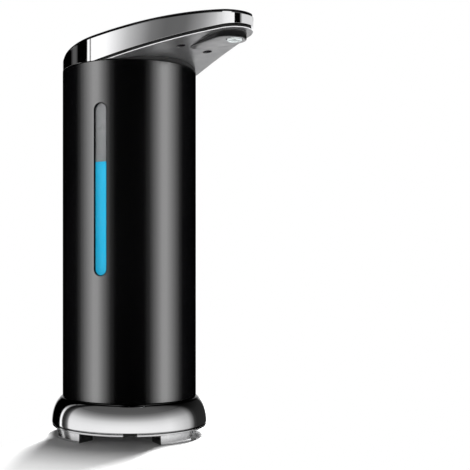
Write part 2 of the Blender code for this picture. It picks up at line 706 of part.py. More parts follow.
def pump(axis, looks):
    """The reduction wheel and the two meshing rotors in their housing."""
    half_wheel_pitch = math.pi / WHEEL_TEETH
    half_rotor_pitch = math.pi / ROTOR_TEETH
    gear("pump_wheel", WHEEL_TEETH, GEAR_MODULE, WHEEL_ALONG, half_wheel_pitch, GEAR_BOTTOM, GEAR_TOP,
         looks["white_plastic"], axis)
    gear("pump_drive_rotor", ROTOR_TEETH, ROTOR_MODULE, WHEEL_ALONG, 0, ROTOR_BOTTOM, ROTOR_TOP,
         looks["white_plastic"], axis)
    gear("pump_idler_rotor", ROTOR_TEETH, ROTOR_MODULE, IDLER_ALONG, half_rotor_pitch, ROTOR_BOTTOM,
         ROTOR_TOP, looks["white_plastic"], axis)
    ring("pump_shaft", 0, SHAFT_RADIUS, DECK_TOP + GAP, ROTOR_TOP, looks["steel"], axis,
         (0, -WHEEL_ALONG, 0), TINY_STEPS)
    pin_bottom = PUMP_BOTTOM + PUMP_FLOOR / 2
    ring("pump_idler_pin", 0, SHAFT_RADIUS, pin_bottom + GAP, ROTOR_TOP, looks["steel"], axis,
         (0, -IDLER_ALONG, 0), TINY_STEPS)
    middle = (WHEEL_ALONG + IDLER_ALONG) / 2
    half_length = (IDLER_ALONG - WHEEL_ALONG) / 2
    outline = capsule_outline(half_length, PUMP_CAVITY + PUMP_WALL, TINY_STEPS)
    housing = prism("pump_housing", outline, PUMP_BOTTOM, PUMP_TOP, looks["grey_plastic"], axis,
                    (0, -middle, 0))
    for number, along in enumerate((WHEEL_ALONG, IDLER_ALONG)):
        cavity = ring(f"rotor_cavity_{number + 1}", 0, PUMP_CAVITY, PUMP_BOTTOM + PUMP_FLOOR,
                      PUMP_TOP + CUT, None, axis, (0, -along, 0), SMALL_STEPS)
        cut(housing, cavity)
    bearing = ring("shaft_bearing", 0, SHAFT_RADIUS + GAP, PUMP_BOTTOM - CUT, ROTOR_BOTTOM, None, axis,
                   (0, -WHEEL_ALONG, 0), TINY_STEPS)
    pin_seat = ring("pin_seat", 0, SHAFT_RADIUS + GAP, pin_bottom, ROTOR_BOTTOM, None, axis,
                    (0, -IDLER_ALONG, 0), TINY_STEPS)
    cut(housing, bearing)
    cut(housing, pin_seat)
    leg_along = IDLER_ALONG + PUMP_CAVITY + PUMP_WALL - PUMP_LEG_INSET
    leg = ring("pump_leg", 0, PUMP_LEG_RADIUS, DECK_TOP + GAP, PUMP_BOTTOM + PUMP_FLOOR / 2, None,
               axis, (0, -leg_along, 0), TINY_STEPS)
    join(housing, leg)
    lid = prism("pump_lid", outline, PUMP_LID_BOTTOM, PUMP_LID_TOP, looks["grey_plastic"], axis,
                (0, -middle, 0))
    for name, across in (("outlet", PORT_OFFSET), ("inlet", -PORT_OFFSET)):
        place = (across, -PORT_ALONG, 0)
        nipple = ring(f"{name}_nipple", 0, NIPPLE_RADIUS, PUMP_LID_TOP - PUMP_FLOOR / 2, NIPPLE_TOP,
                      None, axis, place, TINY_STEPS)
        bore = ring(f"{name}_bore", 0, PORT_BORE, PUMP_LID_BOTTOM - CUT, NIPPLE_TOP + CUT, None, axis,
                    place, TINY_STEPS)
        join(lid, nipple)
        cut(lid, bore)
    strainer_bore = NIPPLE_RADIUS + GAP
    strainer_outer = strainer_bore + STRAINER_WALL
    strainer_top = NIPPLE_TOP + STRAINER_RISE
    turned("inlet_strainer", [
        (strainer_bore, TANK_FLOOR_TOP + GAP), (strainer_outer, TANK_FLOOR_TOP + GAP),
        (strainer_outer, strainer_top), (PORT_BORE, strainer_top),
        (PORT_BORE, strainer_top - STRAINER_WALL), (strainer_bore, strainer_top - STRAINER_WALL)],
        looks["white_plastic"], axis, (-PORT_OFFSET, -PORT_ALONG, 0), TINY_STEPS)


def tank(axis, looks):
    """The tank stands on the deck; soap fills it to the level that the slot shows."""
    body = turned("inner_tank", [
        (TANK_INNER, DECK_TOP + GAP), (TANK_OUTER, DECK_TOP + GAP), (TANK_OUTER, TANK_TOP),
        (TANK_INNER, TANK_TOP), (TANK_INNER, TANK_FLOOR_TOP), (0, TANK_FLOOR_TOP),
        (0, TANK_FLOOR_BOTTOM), (TANK_INNER, TANK_FLOOR_BOTTOM)], looks["clear_plastic"], axis)
    soap = ring("soap_fill", 0, TANK_INNER - GAP, TANK_FLOOR_TOP + GAP, SOAP_LEVEL, looks["soap"], axis)
    strainer_outer = NIPPLE_RADIUS + GAP + STRAINER_WALL
    tubes = (("riser", PORT_OFFSET, PORT_ALONG, NIPPLE_RADIUS, RISER_RADIUS),
             ("strainer", -PORT_OFFSET, PORT_ALONG, NIPPLE_RADIUS, strainer_outer),
             ("conduit", 0, -CONDUIT_BACK, CONDUIT_RADIUS - CONDUIT_WALL - GAP, CONDUIT_RADIUS))
    for name, across, along, floor_hole, soap_hole in tubes:
        place = (across, -along, 0)
        through = ring(f"{name}_floor_hole", 0, floor_hole + GAP, TANK_FLOOR_BOTTOM - CUT,
                       TANK_FLOOR_TOP + CUT, None, axis, place, TINY_STEPS)
        well = ring(f"{name}_soap_hole", 0, soap_hole + GAP, TANK_FLOOR_TOP - CUT, SOAP_LEVEL + CUT,
                    None, axis, place, SMALL_STEPS)
        cut(body, through)
        cut(soap, well)
    ring("riser_tube", RISER_BORE, RISER_RADIUS, TANK_FLOOR_TOP + GAP, RISER_TOP,
         looks["clear_plastic"], axis, (PORT_OFFSET, -PORT_ALONG, 0), TINY_STEPS)
    ring("wire_conduit", CONDUIT_RADIUS - CONDUIT_WALL, CONDUIT_RADIUS, TANK_FLOOR_TOP + GAP,
         LID_TOP + CONDUIT_RISE, looks["white_plastic"], axis, (0, CONDUIT_BACK, 0), TINY_STEPS)


def tank_lid(axis, cap_axis, looks):
    """The lid with its leaning filler neck and the holes for the riser and the conduit."""
    plug = TANK_INNER - GAP
    plug_low = LID_BOTTOM - LID_PLUG_DEPTH
    lid = turned("tank_lid", [
        (0, LID_BOTTOM), (plug - LID_PLUG_WALL, LID_BOTTOM), (plug - LID_PLUG_WALL, plug_low),
        (plug, plug_low), (plug, LID_BOTTOM), (TANK_OUTER, LID_BOTTOM),
        (TANK_OUTER, LID_TOP), (0, LID_TOP)], looks["white_plastic"], axis)
    neck_top = -PANEL_DEPTH - GAP
    neck_foot = -(top_height(-CAP_BACK) - LID_TOP) / math.cos(top_slope(-CAP_BACK))
    outer = NECK_BORE + NECK_WALL
    neck = ring("filler_neck", 0, outer, neck_foot - LID_THICKNESS / 2, neck_top, None, cap_axis)
    below = ring("neck_trim", 0, TANK_OUTER + CUT, LID_BOTTOM - LID_DROP, LID_BOTTOM + LID_THICKNESS / 4,
                 None, axis)
    cut(neck, below)
    bore = ring("filler_bore", 0, NECK_BORE, neck_foot - LID_DROP, neck_top + CUT, None, cap_axis)
    join(lid, neck)
    cut(lid, bore)
    holes = (("riser_lid_hole", PORT_OFFSET, PORT_ALONG, RISER_RADIUS),
             ("conduit_lid_hole", 0, -CONDUIT_BACK, CONDUIT_RADIUS))
    for name, across, along, radius in holes:
        hole = ring(name, 0, radius + GAP, LID_BOTTOM - CUT, LID_TOP + CUT, None, axis,
                    (across, -along, 0), TINY_STEPS)
        cut(lid, hole)


def outer_sleeve(axis, looks):
    """The tube with its level slot, and the lens that fills the slot."""
    low = SEAM_HEIGHT + GAP
    sleeve = ring("outer_sleeve", SLEEVE_INNER, SLEEVE_RADIUS, low, RIM_HEIGHT, looks["gloss_black"],
                  axis)
    lens = ring("window_lens", TANK_OUTER + GAP, SLEEVE_RADIUS - LENS_RECESS, SLOT_BOTTOM, SLOT_TOP,
                looks["lens"], axis, steps=LENS_STEPS)
    middle = (SLOT_BOTTOM + SLOT_TOP) / 2
    half_length = (SLOT_TOP - SLOT_BOTTOM - SLOT_WIDTH) / 2
    radius = SLOT_WIDTH / 2
    across = Vector((math.cos(SLOT_ANGLE), math.sin(SLOT_ANGLE), 0))
    out = Vector((math.sin(SLOT_ANGLE), -math.cos(SLOT_ANGLE), 0))
    turn = Matrix((across, Vector((0, 0, 1)), out)).transposed()
    for name, body, size, use in (("slot", sleeve, radius, cut),
                                  ("lens_edge", lens, radius - LENS_MARGIN, keep)):
        tool = prism(name, capsule_outline(half_length, size, TINY_STEPS), TANK_OUTER - CUT,
                     SLEEVE_RADIUS + CUT, None, axis)
        tool.matrix_local = Matrix.Translation((0, 0, middle)) @ turn.to_4x4()
        use(body, tool)


def neck_collar(axis, looks):
    """The dark ring: a spigot in the sleeve, and a wedge that fills up to the spout's underside."""
    collar = turned("neck_collar", [
        (COLLAR_INNER, LID_TOP + GAP), (COLLAR_OUTER, LID_TOP + GAP), (COLLAR_OUTER, HEAD_BASE),
        (COLLAR_RADIUS, HEAD_BASE), (COLLAR_RADIUS, RIM_HEIGHT + UNDER_TIP_RISE),
        (COLLAR_INNER, RIM_HEIGHT + UNDER_TIP_RISE)], looks["black_plastic"], axis)
    above = slab("collar_trim", lambda along: under_height(along) - GAP,
                 lambda along: RIM_HEIGHT + TOP_TIP_HANDLE, -SLEEVE_RADIUS - CUT,
                 SLEEVE_RADIUS + CUT, SLEEVE_RADIUS + CUT, None, axis)
    cut(collar, above)
    for number, angle in enumerate(SCREW_ANGLES):
        x, y = at_angle(SCREW_CIRCLE, angle)
        pilot = ring(f"collar_pilot_{number + 1}", 0, SCREW_SHANK + GAP,
                     HEAD_BASE - SCREW_LENGTH - CUT, HEAD_BASE + CUT, None, axis, (x, y, 0), TINY_STEPS)
        cut(collar, pilot)


def head_lower_shell(axis, looks):
    """The underside: floor with its bright lip, inner wall, nozzle pad and openings."""
    shell = head_solid("head_lower_shell", 0, under_height, lip_top, looks["silver_plastic"], axis,
                       leaves_rim(SHELL_LIP - GAP / 2))
    floor = head_solid("shell_floor", BAND_INNER_INSET,
                       lambda along: max(under_curve(along) + SHELL_LIP / 2, HEAD_BASE),
                       floor_top, None, axis)
    high = RIM_HEIGHT + TOP_TIP_HANDLE
    wall = head_solid("shell_wall", BAND_INNER_INSET, half_floor, wall_top, None, axis)
    wall_core = prism("shell_wall_core", egg_outline(BAND_INNER_INSET + SHELL_WALL),
                      RIM_HEIGHT - LID_DROP, high, None, axis)
    cut(wall, wall_core)
    pad = prism("nozzle_pad", pad_outline(), PAD_FACE, high, None, axis)
    pad_top = slab("nozzle_pad_top", half_floor, lambda along: high + CUT, 0, SPOUT_REACH,
                   SLEEVE_RADIUS, None, axis)
    cut(pad, pad_top)
    for piece in (floor, wall, pad):
        join(shell, piece)
    mouth = ring("shell_mouth", 0, SHELL_MOUTH_RADIUS, HEAD_BASE - CUT, high, None, axis)
    mouth_limit = prism("mouth_limit", egg_outline(BAND_INNER_INSET + SHELL_WALL + GAP),
                        HEAD_BASE - CUT, high, None, axis)
    keep(mouth, mouth_limit)
    nozzle_hole = ring("nozzle_hole", 0, NOZZLE_RADIUS + GAP, PAD_FACE - CUT, high, None, axis,
                       (0, -NOZZLE_ALONG, 0), SMALL_STEPS)
    cut(shell, mouth)
    cut(shell, nozzle_hole)
    for number, side in enumerate((-1, 1)):
        hole = ring(f"window_hole_{number + 1}", 0, WINDOW_RADIUS + GAP, RIM_HEIGHT, high, None, axis,
                    (side * SENSOR_ACROSS, -SENSOR_ALONG, 0), TINY_STEPS)
        cut(shell, hole)
    for number, angle in enumerate(SCREW_ANGLES):
        x, y = at_angle(SCREW_CIRCLE, angle)
        hole = ring(f"shell_pilot_{number + 1}", 0, SCREW_SHANK + GAP, HEAD_BASE - CUT, high, None, axis,
                    (x, y, 0), TINY_STEPS)
        cut(shell, hole)
        room = ring(f"shell_screw_room_{number + 1}", 0, SCREW_HEAD_RADIUS + GAP, HEAD_BASE + SHELL_FLOOR,
                    high, None, axis, (x, y, 0), TINY_STEPS)
        cut(shell, room)
        seat = HEAD_BASE + SHELL_FLOOR + GAP
        turned(f"shell_screw_{number + 1}", [
            (0, HEAD_BASE - SCREW_LENGTH), (SCREW_SHANK, HEAD_BASE - SCREW_LENGTH), (SCREW_SHANK, seat),
            (SCREW_HEAD_RADIUS, seat), (SCREW_HEAD_RADIUS, seat + SCREW_HEAD_HEIGHT),
            (0, seat + SCREW_HEAD_HEIGHT)], looks["steel"], axis, (x, y, 0), TINY_STEPS)


def wall_top(along):
    """Top of the shell's inner wall, under the panel's plug."""
    highest = top_height(along) - PANEL_DEPTH - GAP
    lowest = (half_floor(along) + floor_top(along)) / 2
    return max(lowest, min(under_height(along) + SHELL_WALL_HEIGHT, highest))


def band(axis, looks):
    """The polished side band, and the thin black seal in the groove under it."""
    chrome_band = head_solid("chrome_band", 0, groove_top,
                             lambda along: top_height(along) - PANEL_EDGE - GAP, looks["chrome"], axis)
    high = RIM_HEIGHT + TOP_TIP_HANDLE + 2 * CUT
    band_core = prism("band_core", egg_outline(BAND_WALL), RIM_HEIGHT - LID_DROP, high, None, axis)
    cut(chrome_band, band_core)
    gasket = head_solid("band_gasket", GROOVE_DEPTH, lambda along: lip_top(along) + GAP,
                        lambda along: groove_top(along) - GAP, looks["rubber"], axis,
                        leaves_rim(SHELL_LIP + GAP))
    gasket_core = prism("gasket_core", egg_outline(BAND_WALL), RIM_HEIGHT - LID_DROP, high, None, axis)
    cut(gasket, gasket_core)


def top_panel(axis, cap_axis, looks):
    """The gloss black top with its openings."""
    panel = head_solid("top_panel", PANEL_SETBACK, lambda along: top_height(along) - PANEL_EDGE, top_height,
                       looks["gloss_black"], axis)
    plug = head_solid("panel_plug", BAND_INNER_INSET, panel_bottom,
                      lambda along: top_height(along) - PANEL_OVERLAP, None, axis)
    join(panel, plug)
    cap_hole = ring("cap_hole", 0, CAP_RADIUS + GAP, -CAP_PLUG_DEPTH, CUT, None, cap_axis)
    cut(panel, cap_hole)
    for tool in button_holes(axis):
        cut(panel, tool)


def button_holes(axis):
    """Cutters for the two buttons and the light, square to the panel."""
    tools = []
    for name, along, across, radius in (("plus_hole", BUTTON_ALONG, BUTTON_ACROSS, BUTTON_RADIUS),
                                        ("minus_hole", BUTTON_ALONG, -BUTTON_ACROSS, BUTTON_RADIUS),
                                        ("light_hole", LIGHT_ALONG, 0, LIGHT_RADIUS)):
        tool = ring(name, 0, radius + GAP, -PANEL_DEPTH - CUT, CUT, None, axis, steps=SMALL_STEPS)
        lay_on_top(tool, along, across)
        tools.append(tool)
    return tools


def lay_on_top(thing, along, across):
    """Put a piece's origin on the head's top, with its Z square to it."""
    thing.location = spot(along, across, top_height(along))
    thing.rotation_euler = (-top_slope(along), 0, 0)


def filler_cap(cap_axis, looks):
    """The refill cap, its coin slot and the sealing ring in its groove."""
    under = -PANEL_DEPTH
    groove_low = -CAP_GROOVE_TOP - CAP_GROOVE_HEIGHT
    groove_radius = CAP_PLUG_RADIUS - CAP_GROOVE_DEPTH
    cap = turned("filler_cap", [
        (0, -CAP_PLUG_DEPTH), (CAP_PLUG_RADIUS, -CAP_PLUG_DEPTH), (CAP_PLUG_RADIUS, groove_low),
        (groove_radius, groove_low), (groove_radius, -CAP_GROOVE_TOP), (CAP_PLUG_RADIUS, -CAP_GROOVE_TOP),
        (CAP_PLUG_RADIUS, under), (CAP_RADIUS, under), (CAP_RADIUS, CAP_PROUD), (0, CAP_PROUD)],
        looks["gloss_black"], cap_axis)
    half_length = (CAP_SLOT_LENGTH - CAP_SLOT_WIDTH) / 2
    slot = prism("coin_slot", capsule_outline(half_length, CAP_SLOT_WIDTH / 2, COIN_SLOT_STEPS),
                 CAP_PROUD - CAP_SLOT_DEPTH, CAP_PROUD + CUT, None, cap_axis)
    slot.rotation_euler = (0, 0, math.pi / 2)
    cut(cap, slot)
    ring("cap_seal", groove_radius + GAP, NECK_BORE - GAP, groove_low + GAP, -CAP_GROOVE_TOP - GAP,
         looks["rubber"], cap_axis, steps=SMALL_STEPS)


def buttons(axis, looks):
    """Two push buttons with engraved marks, each over its dome on the board."""
    under = -PANEL_DEPTH - GAP
    flange_low = under - BUTTON_FLANGE_HEIGHT
    dome_top = flange_low - BUTTON_TRAVEL - GAP
    for name, side in (("plus", 1), ("minus", -1)):
        across = side * BUTTON_ACROSS
        button = turned(f"{name}_button", [
            (0, flange_low), (BUTTON_RADIUS + BUTTON_FLANGE, flange_low),
            (BUTTON_RADIUS + BUTTON_FLANGE, under), (BUTTON_RADIUS, under),
            (BUTTON_RADIUS, BUTTON_PROUD), (0, BUTTON_PROUD)], looks["satin_black"], axis,
            steps=SMALL_STEPS)
        lay_on_top(button, BUTTON_ALONG, across)
        bars = (0, math.pi / 2) if name == "plus" else (0,)
        for number, turn in enumerate(bars):
            half_length = MARK_LENGTH / 2
            half_width = MARK_WIDTH / 2
            outline = [(-half_length, -half_width), (half_length, -half_width),
                       (half_length, half_width), (-half_length, half_width)]
            bar = prism(f"{name}_mark_{number + 1}", outline, BUTTON_PROUD - MARK_DEPTH,
                        BUTTON_PROUD + CUT, None, axis)
            lay_on_top(bar, BUTTON_ALONG, across)
            bar.rotation_euler.rotate_axis("Z", turn)
            cut(button, bar)
        dome = ring(f"{name}_dome", 0, DOME_RADIUS, dome_top - DOME_HEIGHT, dome_top, looks["steel"],
                    axis, steps=TINY_STEPS)
        lay_on_top(dome, BUTTON_ALONG, across)
    light = ring("status_light", 0, LIGHT_RADIUS, dome_top - DOME_HEIGHT, 0, looks["light"], axis,
                 steps=TINY_STEPS)
    lay_on_top(light, LIGHT_ALONG, 0)


def board_top(along):
    """Height of the board's upper face, parallel to the top under the buttons."""
    depth = PANEL_DEPTH + GAP + BUTTON_FLANGE_HEIGHT + BUTTON_TRAVEL + GAP + DOME_HEIGHT + GAP
    slope = math.tan(top_slope(BUTTON_ALONG))
    drop = depth / math.cos(top_slope(BUTTON_ALONG))
    return top_height(BUTTON_ALONG) - drop + (along - BUTTON_ALONG) * slope


def circuit_board(axis, looks):
    """The board, and the two sensors that look down through the underside."""
    def bottom(along):
        return board_top(along) - BOARD_THICKNESS

    slab("circuit_board", bottom, board_top, BOARD_START, BOARD_END, BOARD_HALF_WIDTH, looks["board"],
         axis)
    for name, side in (("emitter", -1), ("receiver", 1)):
        place = (side * SENSOR_ACROSS, -SENSOR_ALONG, 0)
        low = under_height(SENSOR_ALONG)
        lens_low = low + WINDOW_RECESS
        lens_top = low + SHELL_FLOOR
        ring(f"{name}_lens", 0, WINDOW_RADIUS, lens_low, lens_top, looks["lens_dark"], axis, place,
             TINY_STEPS)
        ring(f"ir_{name}", 0, SENSOR_RADIUS, lens_top + GAP,
             bottom(SENSOR_ALONG - SENSOR_RADIUS) - GAP, looks["lens_dark"], axis, place, TINY_STEPS)


def nozzle(axis, looks):
    """The outlet with its side inlet, the duckbill valve in its mouth and the hose that feeds it."""
    place = (0, -NOZZLE_ALONG, 0)
    mouth_top = NOZZLE_BOTTOM + NOZZLE_MOUTH_DEPTH
    bore_top = NOZZLE_TOP - NOZZLE_BORE
    body = turned("nozzle", [
        (NOZZLE_MOUTH, NOZZLE_BOTTOM), (NOZZLE_RADIUS, NOZZLE_BOTTOM), (NOZZLE_RADIUS, NOZZLE_TOP),
        (0, NOZZLE_TOP), (0, bore_top), (NOZZLE_BORE, bore_top), (NOZZLE_BORE, mouth_top),
        (NOZZLE_MOUTH, mouth_top)], looks["white_plastic"], axis, place, SMALL_STEPS)
    inlet_height = NOZZLE_TOP - NOZZLE_INLET_DROP - NOZZLE_BORE
    inlet = ring("nozzle_inlet", 0, NOZZLE_INLET_RADIUS, 0, NOZZLE_RADIUS + CUT, None, axis,
                 spot(NOZZLE_ALONG, 0, inlet_height), TINY_STEPS)
    inlet.rotation_euler = (-math.pi / 2, 0, 0)
    cut(body, inlet)
    valve_outer = NOZZLE_MOUTH - GAP
    valve_top = mouth_top - GAP
    turned("duckbill_valve", [
        (VALVE_TIP_RADIUS / 2, valve_top - VALVE_LENGTH), (VALVE_TIP_RADIUS, valve_top - VALVE_LENGTH),
        (valve_outer, valve_top - VALVE_LENGTH / 3), (valve_outer, valve_top),
        (VALVE_TIP_RADIUS, valve_top)], looks["rubber"], axis, place, TINY_STEPS)
    foot = spot(PORT_ALONG, PORT_OFFSET, RISER_TOP + GAP)
    knee = foot + spot(HOSE_BEND, 0, HOSE_BEND)
    corner = foot + spot(0, 0, HOSE_BEND * HOSE_HANDLE_SHARE)
    knee_handle = knee - spot(HOSE_BEND * HOSE_HANDLE_SHARE, 0, 0)
    end = spot(NOZZLE_ALONG - NOZZLE_RADIUS - GAP, 0, inlet_height)
    run = (end - knee).length / 3
    points = [foot] + bezier(foot, corner, knee_handle, knee, HOSE_STEPS // 3)
    points += bezier(knee, knee + spot(run, 0, 0), end - spot(run, 0, 0), end, HOSE_STEPS)
    swept_tube("delivery_hose", points, HOSE_RADIUS, HOSE_BORE, looks["clear_plastic"], axis)


def wire_loom(axis, looks):
    """The wires: up the conduit, round the filler neck and on to the board."""
    start = spot(-CONDUIT_BACK, 0, DECK_BOTTOM)
    top = spot(-CONDUIT_BACK, 0, LID_TOP + CONDUIT_RISE)
    around = (NECK_BORE + NECK_WALL + SHELL_MOUTH_RADIUS) / 2
    beside = spot(0, -around, HEAD_BASE + LOOM_RADIUS)
    end = spot(BOARD_START - LOOM_RADIUS - GAP, -BOARD_HALF_WIDTH / 2,
               board_top(BOARD_START) - LOOM_RADIUS)
    points = [start, top]
    points += bezier(top, top + spot(0, 0, around / 4), beside - spot(around, 0, 0), beside, HOSE_STEPS)
    points += bezier(beside, beside + spot(around / 2, 0, 0), end - spot(around / 3, 0, 0), end,
                     HOSE_STEPS // 2)
    swept_tube("wire_loom", points, LOOM_RADIUS, 0, looks["wire"], axis)


def finishes():
    """Every finish by its plain name: colour, roughness and metallic value."""
    table = {
        "chrome": ((0.78, 0.78, 0.79), 0.08, 1.0),
        "gloss_black": ((0.008, 0.008, 0.009), 0.12, 0.0),
        "satin_black": ((0.02, 0.02, 0.022), 0.4, 0.0),
        "silver_plastic": ((0.42, 0.42, 0.43), 0.28, 0.7),
        "cover_grey": ((0.62, 0.62, 0.63), 0.35, 0.0),
        "black_plastic": ((0.03, 0.03, 0.03), 0.5, 0.0),
        "white_plastic": ((0.8, 0.8, 0.8), 0.4, 0.0),
        "grey_plastic": ((0.4, 0.4, 0.42), 0.45, 0.0),
        "clear_plastic": ((0.75, 0.8, 0.82), 0.2, 0.0),
        "lens": ((0.45, 0.6, 0.68), 0.15, 0.0),
        "lens_dark": ((0.03, 0.02, 0.03), 0.15, 0.0),
        "soap": ((0.03, 0.46, 0.73), 0.15, 0.0),
        "rubber": ((0.03, 0.03, 0.03), 0.75, 0.0),
        "brass": ((0.72, 0.55, 0.25), 0.3, 1.0),
        "steel": ((0.6, 0.6, 0.61), 0.3, 1.0),
        "cell": ((0.15, 0.3, 0.2), 0.4, 0.0),
        "board": ((0.03, 0.25, 0.1), 0.5, 0.0),
        "light": ((0.8, 0.15, 0.1), 0.3, 0.0),
        "wire": ((0.5, 0.05, 0.04), 0.5, 0.0),
    }
    return {name: finish(name, *values) for name, values in table.items()}


def build():
    clear_scene()
    looks = finishes()
    axis = empty("tank_axis", (0, AXIS_Y, 0))
    cap_axis = empty("cap_axis", spot(-CAP_BACK, 0, top_height(-CAP_BACK)), axis)
    cap_axis.rotation_euler = (-top_slope(-CAP_BACK), 0, 0)
    base_skirt(axis, looks["chrome"])
    bottom_cover(axis, looks["cover_grey"])
    battery_space(axis, looks)
    motor(axis, looks)
    pump(axis, looks)
    tank(axis, looks)
    tank_lid(axis, cap_axis, looks)
    outer_sleeve(axis, looks)
    neck_collar(axis, looks)
    head_lower_shell(axis, looks)
    band(axis, looks)
    top_panel(axis, cap_axis, looks)
    filler_cap(cap_axis, looks)
    buttons(axis, looks)
    circuit_board(axis, looks)
    nozzle(axis, looks)
    wire_loom(axis, looks)


build()
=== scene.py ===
"""Automatic soap dispenser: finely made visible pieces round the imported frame, their finishes, a plain
studio and the camera.

Lengths are in metres. "along" is a distance from the tank's axis towards the spout's tip, "across" is
a distance towards +X, and heights are measured from the floor.
"""

import json
import math

import bmesh
import bpy
from mathutils import Matrix, Vector


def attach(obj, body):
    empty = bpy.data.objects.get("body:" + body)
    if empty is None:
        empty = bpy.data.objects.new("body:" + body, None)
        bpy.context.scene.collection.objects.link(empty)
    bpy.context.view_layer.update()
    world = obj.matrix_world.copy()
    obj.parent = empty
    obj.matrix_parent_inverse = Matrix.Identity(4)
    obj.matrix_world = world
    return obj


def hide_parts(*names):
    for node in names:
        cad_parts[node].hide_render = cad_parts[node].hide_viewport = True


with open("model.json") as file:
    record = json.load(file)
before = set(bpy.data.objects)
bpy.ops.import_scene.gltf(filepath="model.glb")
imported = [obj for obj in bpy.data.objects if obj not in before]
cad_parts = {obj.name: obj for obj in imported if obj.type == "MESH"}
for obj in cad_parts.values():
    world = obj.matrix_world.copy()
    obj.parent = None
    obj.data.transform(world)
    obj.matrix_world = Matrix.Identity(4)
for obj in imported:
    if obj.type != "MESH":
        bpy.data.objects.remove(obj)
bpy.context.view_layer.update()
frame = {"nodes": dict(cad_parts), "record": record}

MM = 0.001
FULL_TURN = 2.0 * math.pi
WHOLE = (0.0, 1.0)

# Small measures: between two pieces, past a cut, the least thickness, and how far fine edges stand back
GAP = 0.3 * MM
OVERRUN = 1.0 * MM
THINNEST = 0.02 * MM
SHY = 0.06 * MM

# Body, base and head, as the solids have them
BASE_RADIUS = 37.5 * MM
SLEEVE_RADIUS = 32.3 * MM
SLEEVE_WALL = 0.8 * MM
SEAM_HEIGHT = 18.2 * MM
RIM_HEIGHT = 174.3 * MM
SPOUT_REACH = 75.8 * MM
TIP_RADIUS = 10.2 * MM
SIDE_RADIUS = 900.0 * MM
AXIS_Y = (SPOUT_REACH - BASE_RADIUS) / 2
AXIS = Vector((0, AXIS_Y, 0))
TIP_CENTRE = SPOUT_REACH - TIP_RADIUS
HEAD_BASE = RIM_HEIGHT + GAP

# Curves of the head's top and underside, above the rim
TOP_RISES = (2.5 * MM, 11.9 * MM, 19.8 * MM, 15.0 * MM)
UNDER_AXIS_DROP = 3.95 * MM
UNDER_TIP_RISE = 7.7 * MM
UNDER_BULGE = 1.7 * MM
CLEAR_ABOVE = RIM_HEIGHT + 2 * UNDER_TIP_RISE
SLOPE_STEP = 5.0 * MM
NORMAL_STEP = 0.5 * MM

# Steps of fine curves
TURN_STEPS = 192
SMALL_STEPS = 64
BACK_STEPS = 60
SIDE_STEPS = 26
TIP_STEPS = 28
ROUND_STEPS = 5
SOFT_STEPS = 3
QUARTER = [math.pi / 2 * step / ROUND_STEPS for step in range(ROUND_STEPS + 1)]

# Skirt, cover and feet
SKIRT_WALL = 1.5 * MM
SKIRT_FLARE = 7.5 * MM
SKIRT_STEPS = 24
SKIRT_LEDGE = SLEEVE_RADIUS - SLEEVE_WALL - 0.2 * MM
LIP_HEIGHT = 5.95 * MM
COVER_TOP = LIP_HEIGHT - GAP
COVER_RADIUS = BASE_RADIUS - 0.3 * MM
COVER_UNDER = 4.4 * MM
COVER_ROUND = 0.26 * MM
RIM_DROP = 0.25 * MM
RIM_STEP = 1.5 * MM
SPIGOT_OUTER = 28.9 * MM
SPIGOT_INNER = 27.4 * MM
SPIGOT_TOP = 11.15 * MM
FOOT_OUTER = COVER_RADIUS - 0.6 * MM
FOOT_INNER = 27.0 * MM
FOOT_SPAN = math.radians(28.4)
FOOT_TURN = math.radians(-4.5)
FOOT_COUNT = 4
FOOT_STEPS = 16
FOOT_ROUND = 0.3 * MM
NOTCH_WIDTH = 6.3 * MM
NOTCH_DEPTH = 2.6 * MM
NOTCH_ANGLE = math.radians(-41.0)

# Level window, tank and soap
SLOT_WIDTH = 6.6 * MM
SLOT_BOTTOM = 76.2 * MM
SLOT_TOP = 155.3 * MM
SLOT_ANGLE = math.radians(-65.8)
LENS_RECESS = 0.6 * MM
LENS_MARGIN = 0.45 * MM
LINER_RECESS = 0.25 * MM
LENS_INNER = 31.2 * MM
TANK_OUTER = 30.9 * MM
TANK_INNER = 29.6 * MM
TANK_TOP = 163.0 * MM
DECK_TOP = 54.15 * MM
TANK_FLOOR = (67.45 * MM, 69.45 * MM)
SOAP_LEVEL = 128.7 * MM

# Collar, shell, band and panel
COLLAR_RADIUS = 31.9 * MM
COLLAR_OUTER = SLEEVE_RADIUS - SLEEVE_WALL - GAP
COLLAR_INNER = COLLAR_OUTER - 3.3 * MM
COLLAR_FOOT = 165.6 * MM
SHELL_LIP = 0.6 * MM
LIP_CHAMFER = 0.22 * MM
SHELL_FLOOR = 1.5 * MM
SHELL_MOUTH = 26.0 * MM
MOUTH_INSET = 1.5 * MM
GROOVE_HEIGHT = 1.35 * MM
GROOVE_DEPTH = 0.8 * MM
BAND_WALL = 1.8 * MM
BAND_CHAMFER = 0.45 * MM
BAND_CHAMFER_IN = BAND_CHAMFER * 0.7
PANEL_EDGE = 0.7 * MM
PANEL_SETBACK = 0.4 * MM
PANEL_ROUND = 0.35 * MM
PLUG_INSET = BAND_WALL + GAP
PANEL_DEPTH = 1.7 * MM
PAD_FACE = RIM_HEIGHT + 4.5 * MM
PAD_FRONT = (65.0 * MM, 7.8 * MM)
PAD_TAIL = (46.0 * MM, 4.2 * MM)
PAD_ROUND = 0.5 * MM

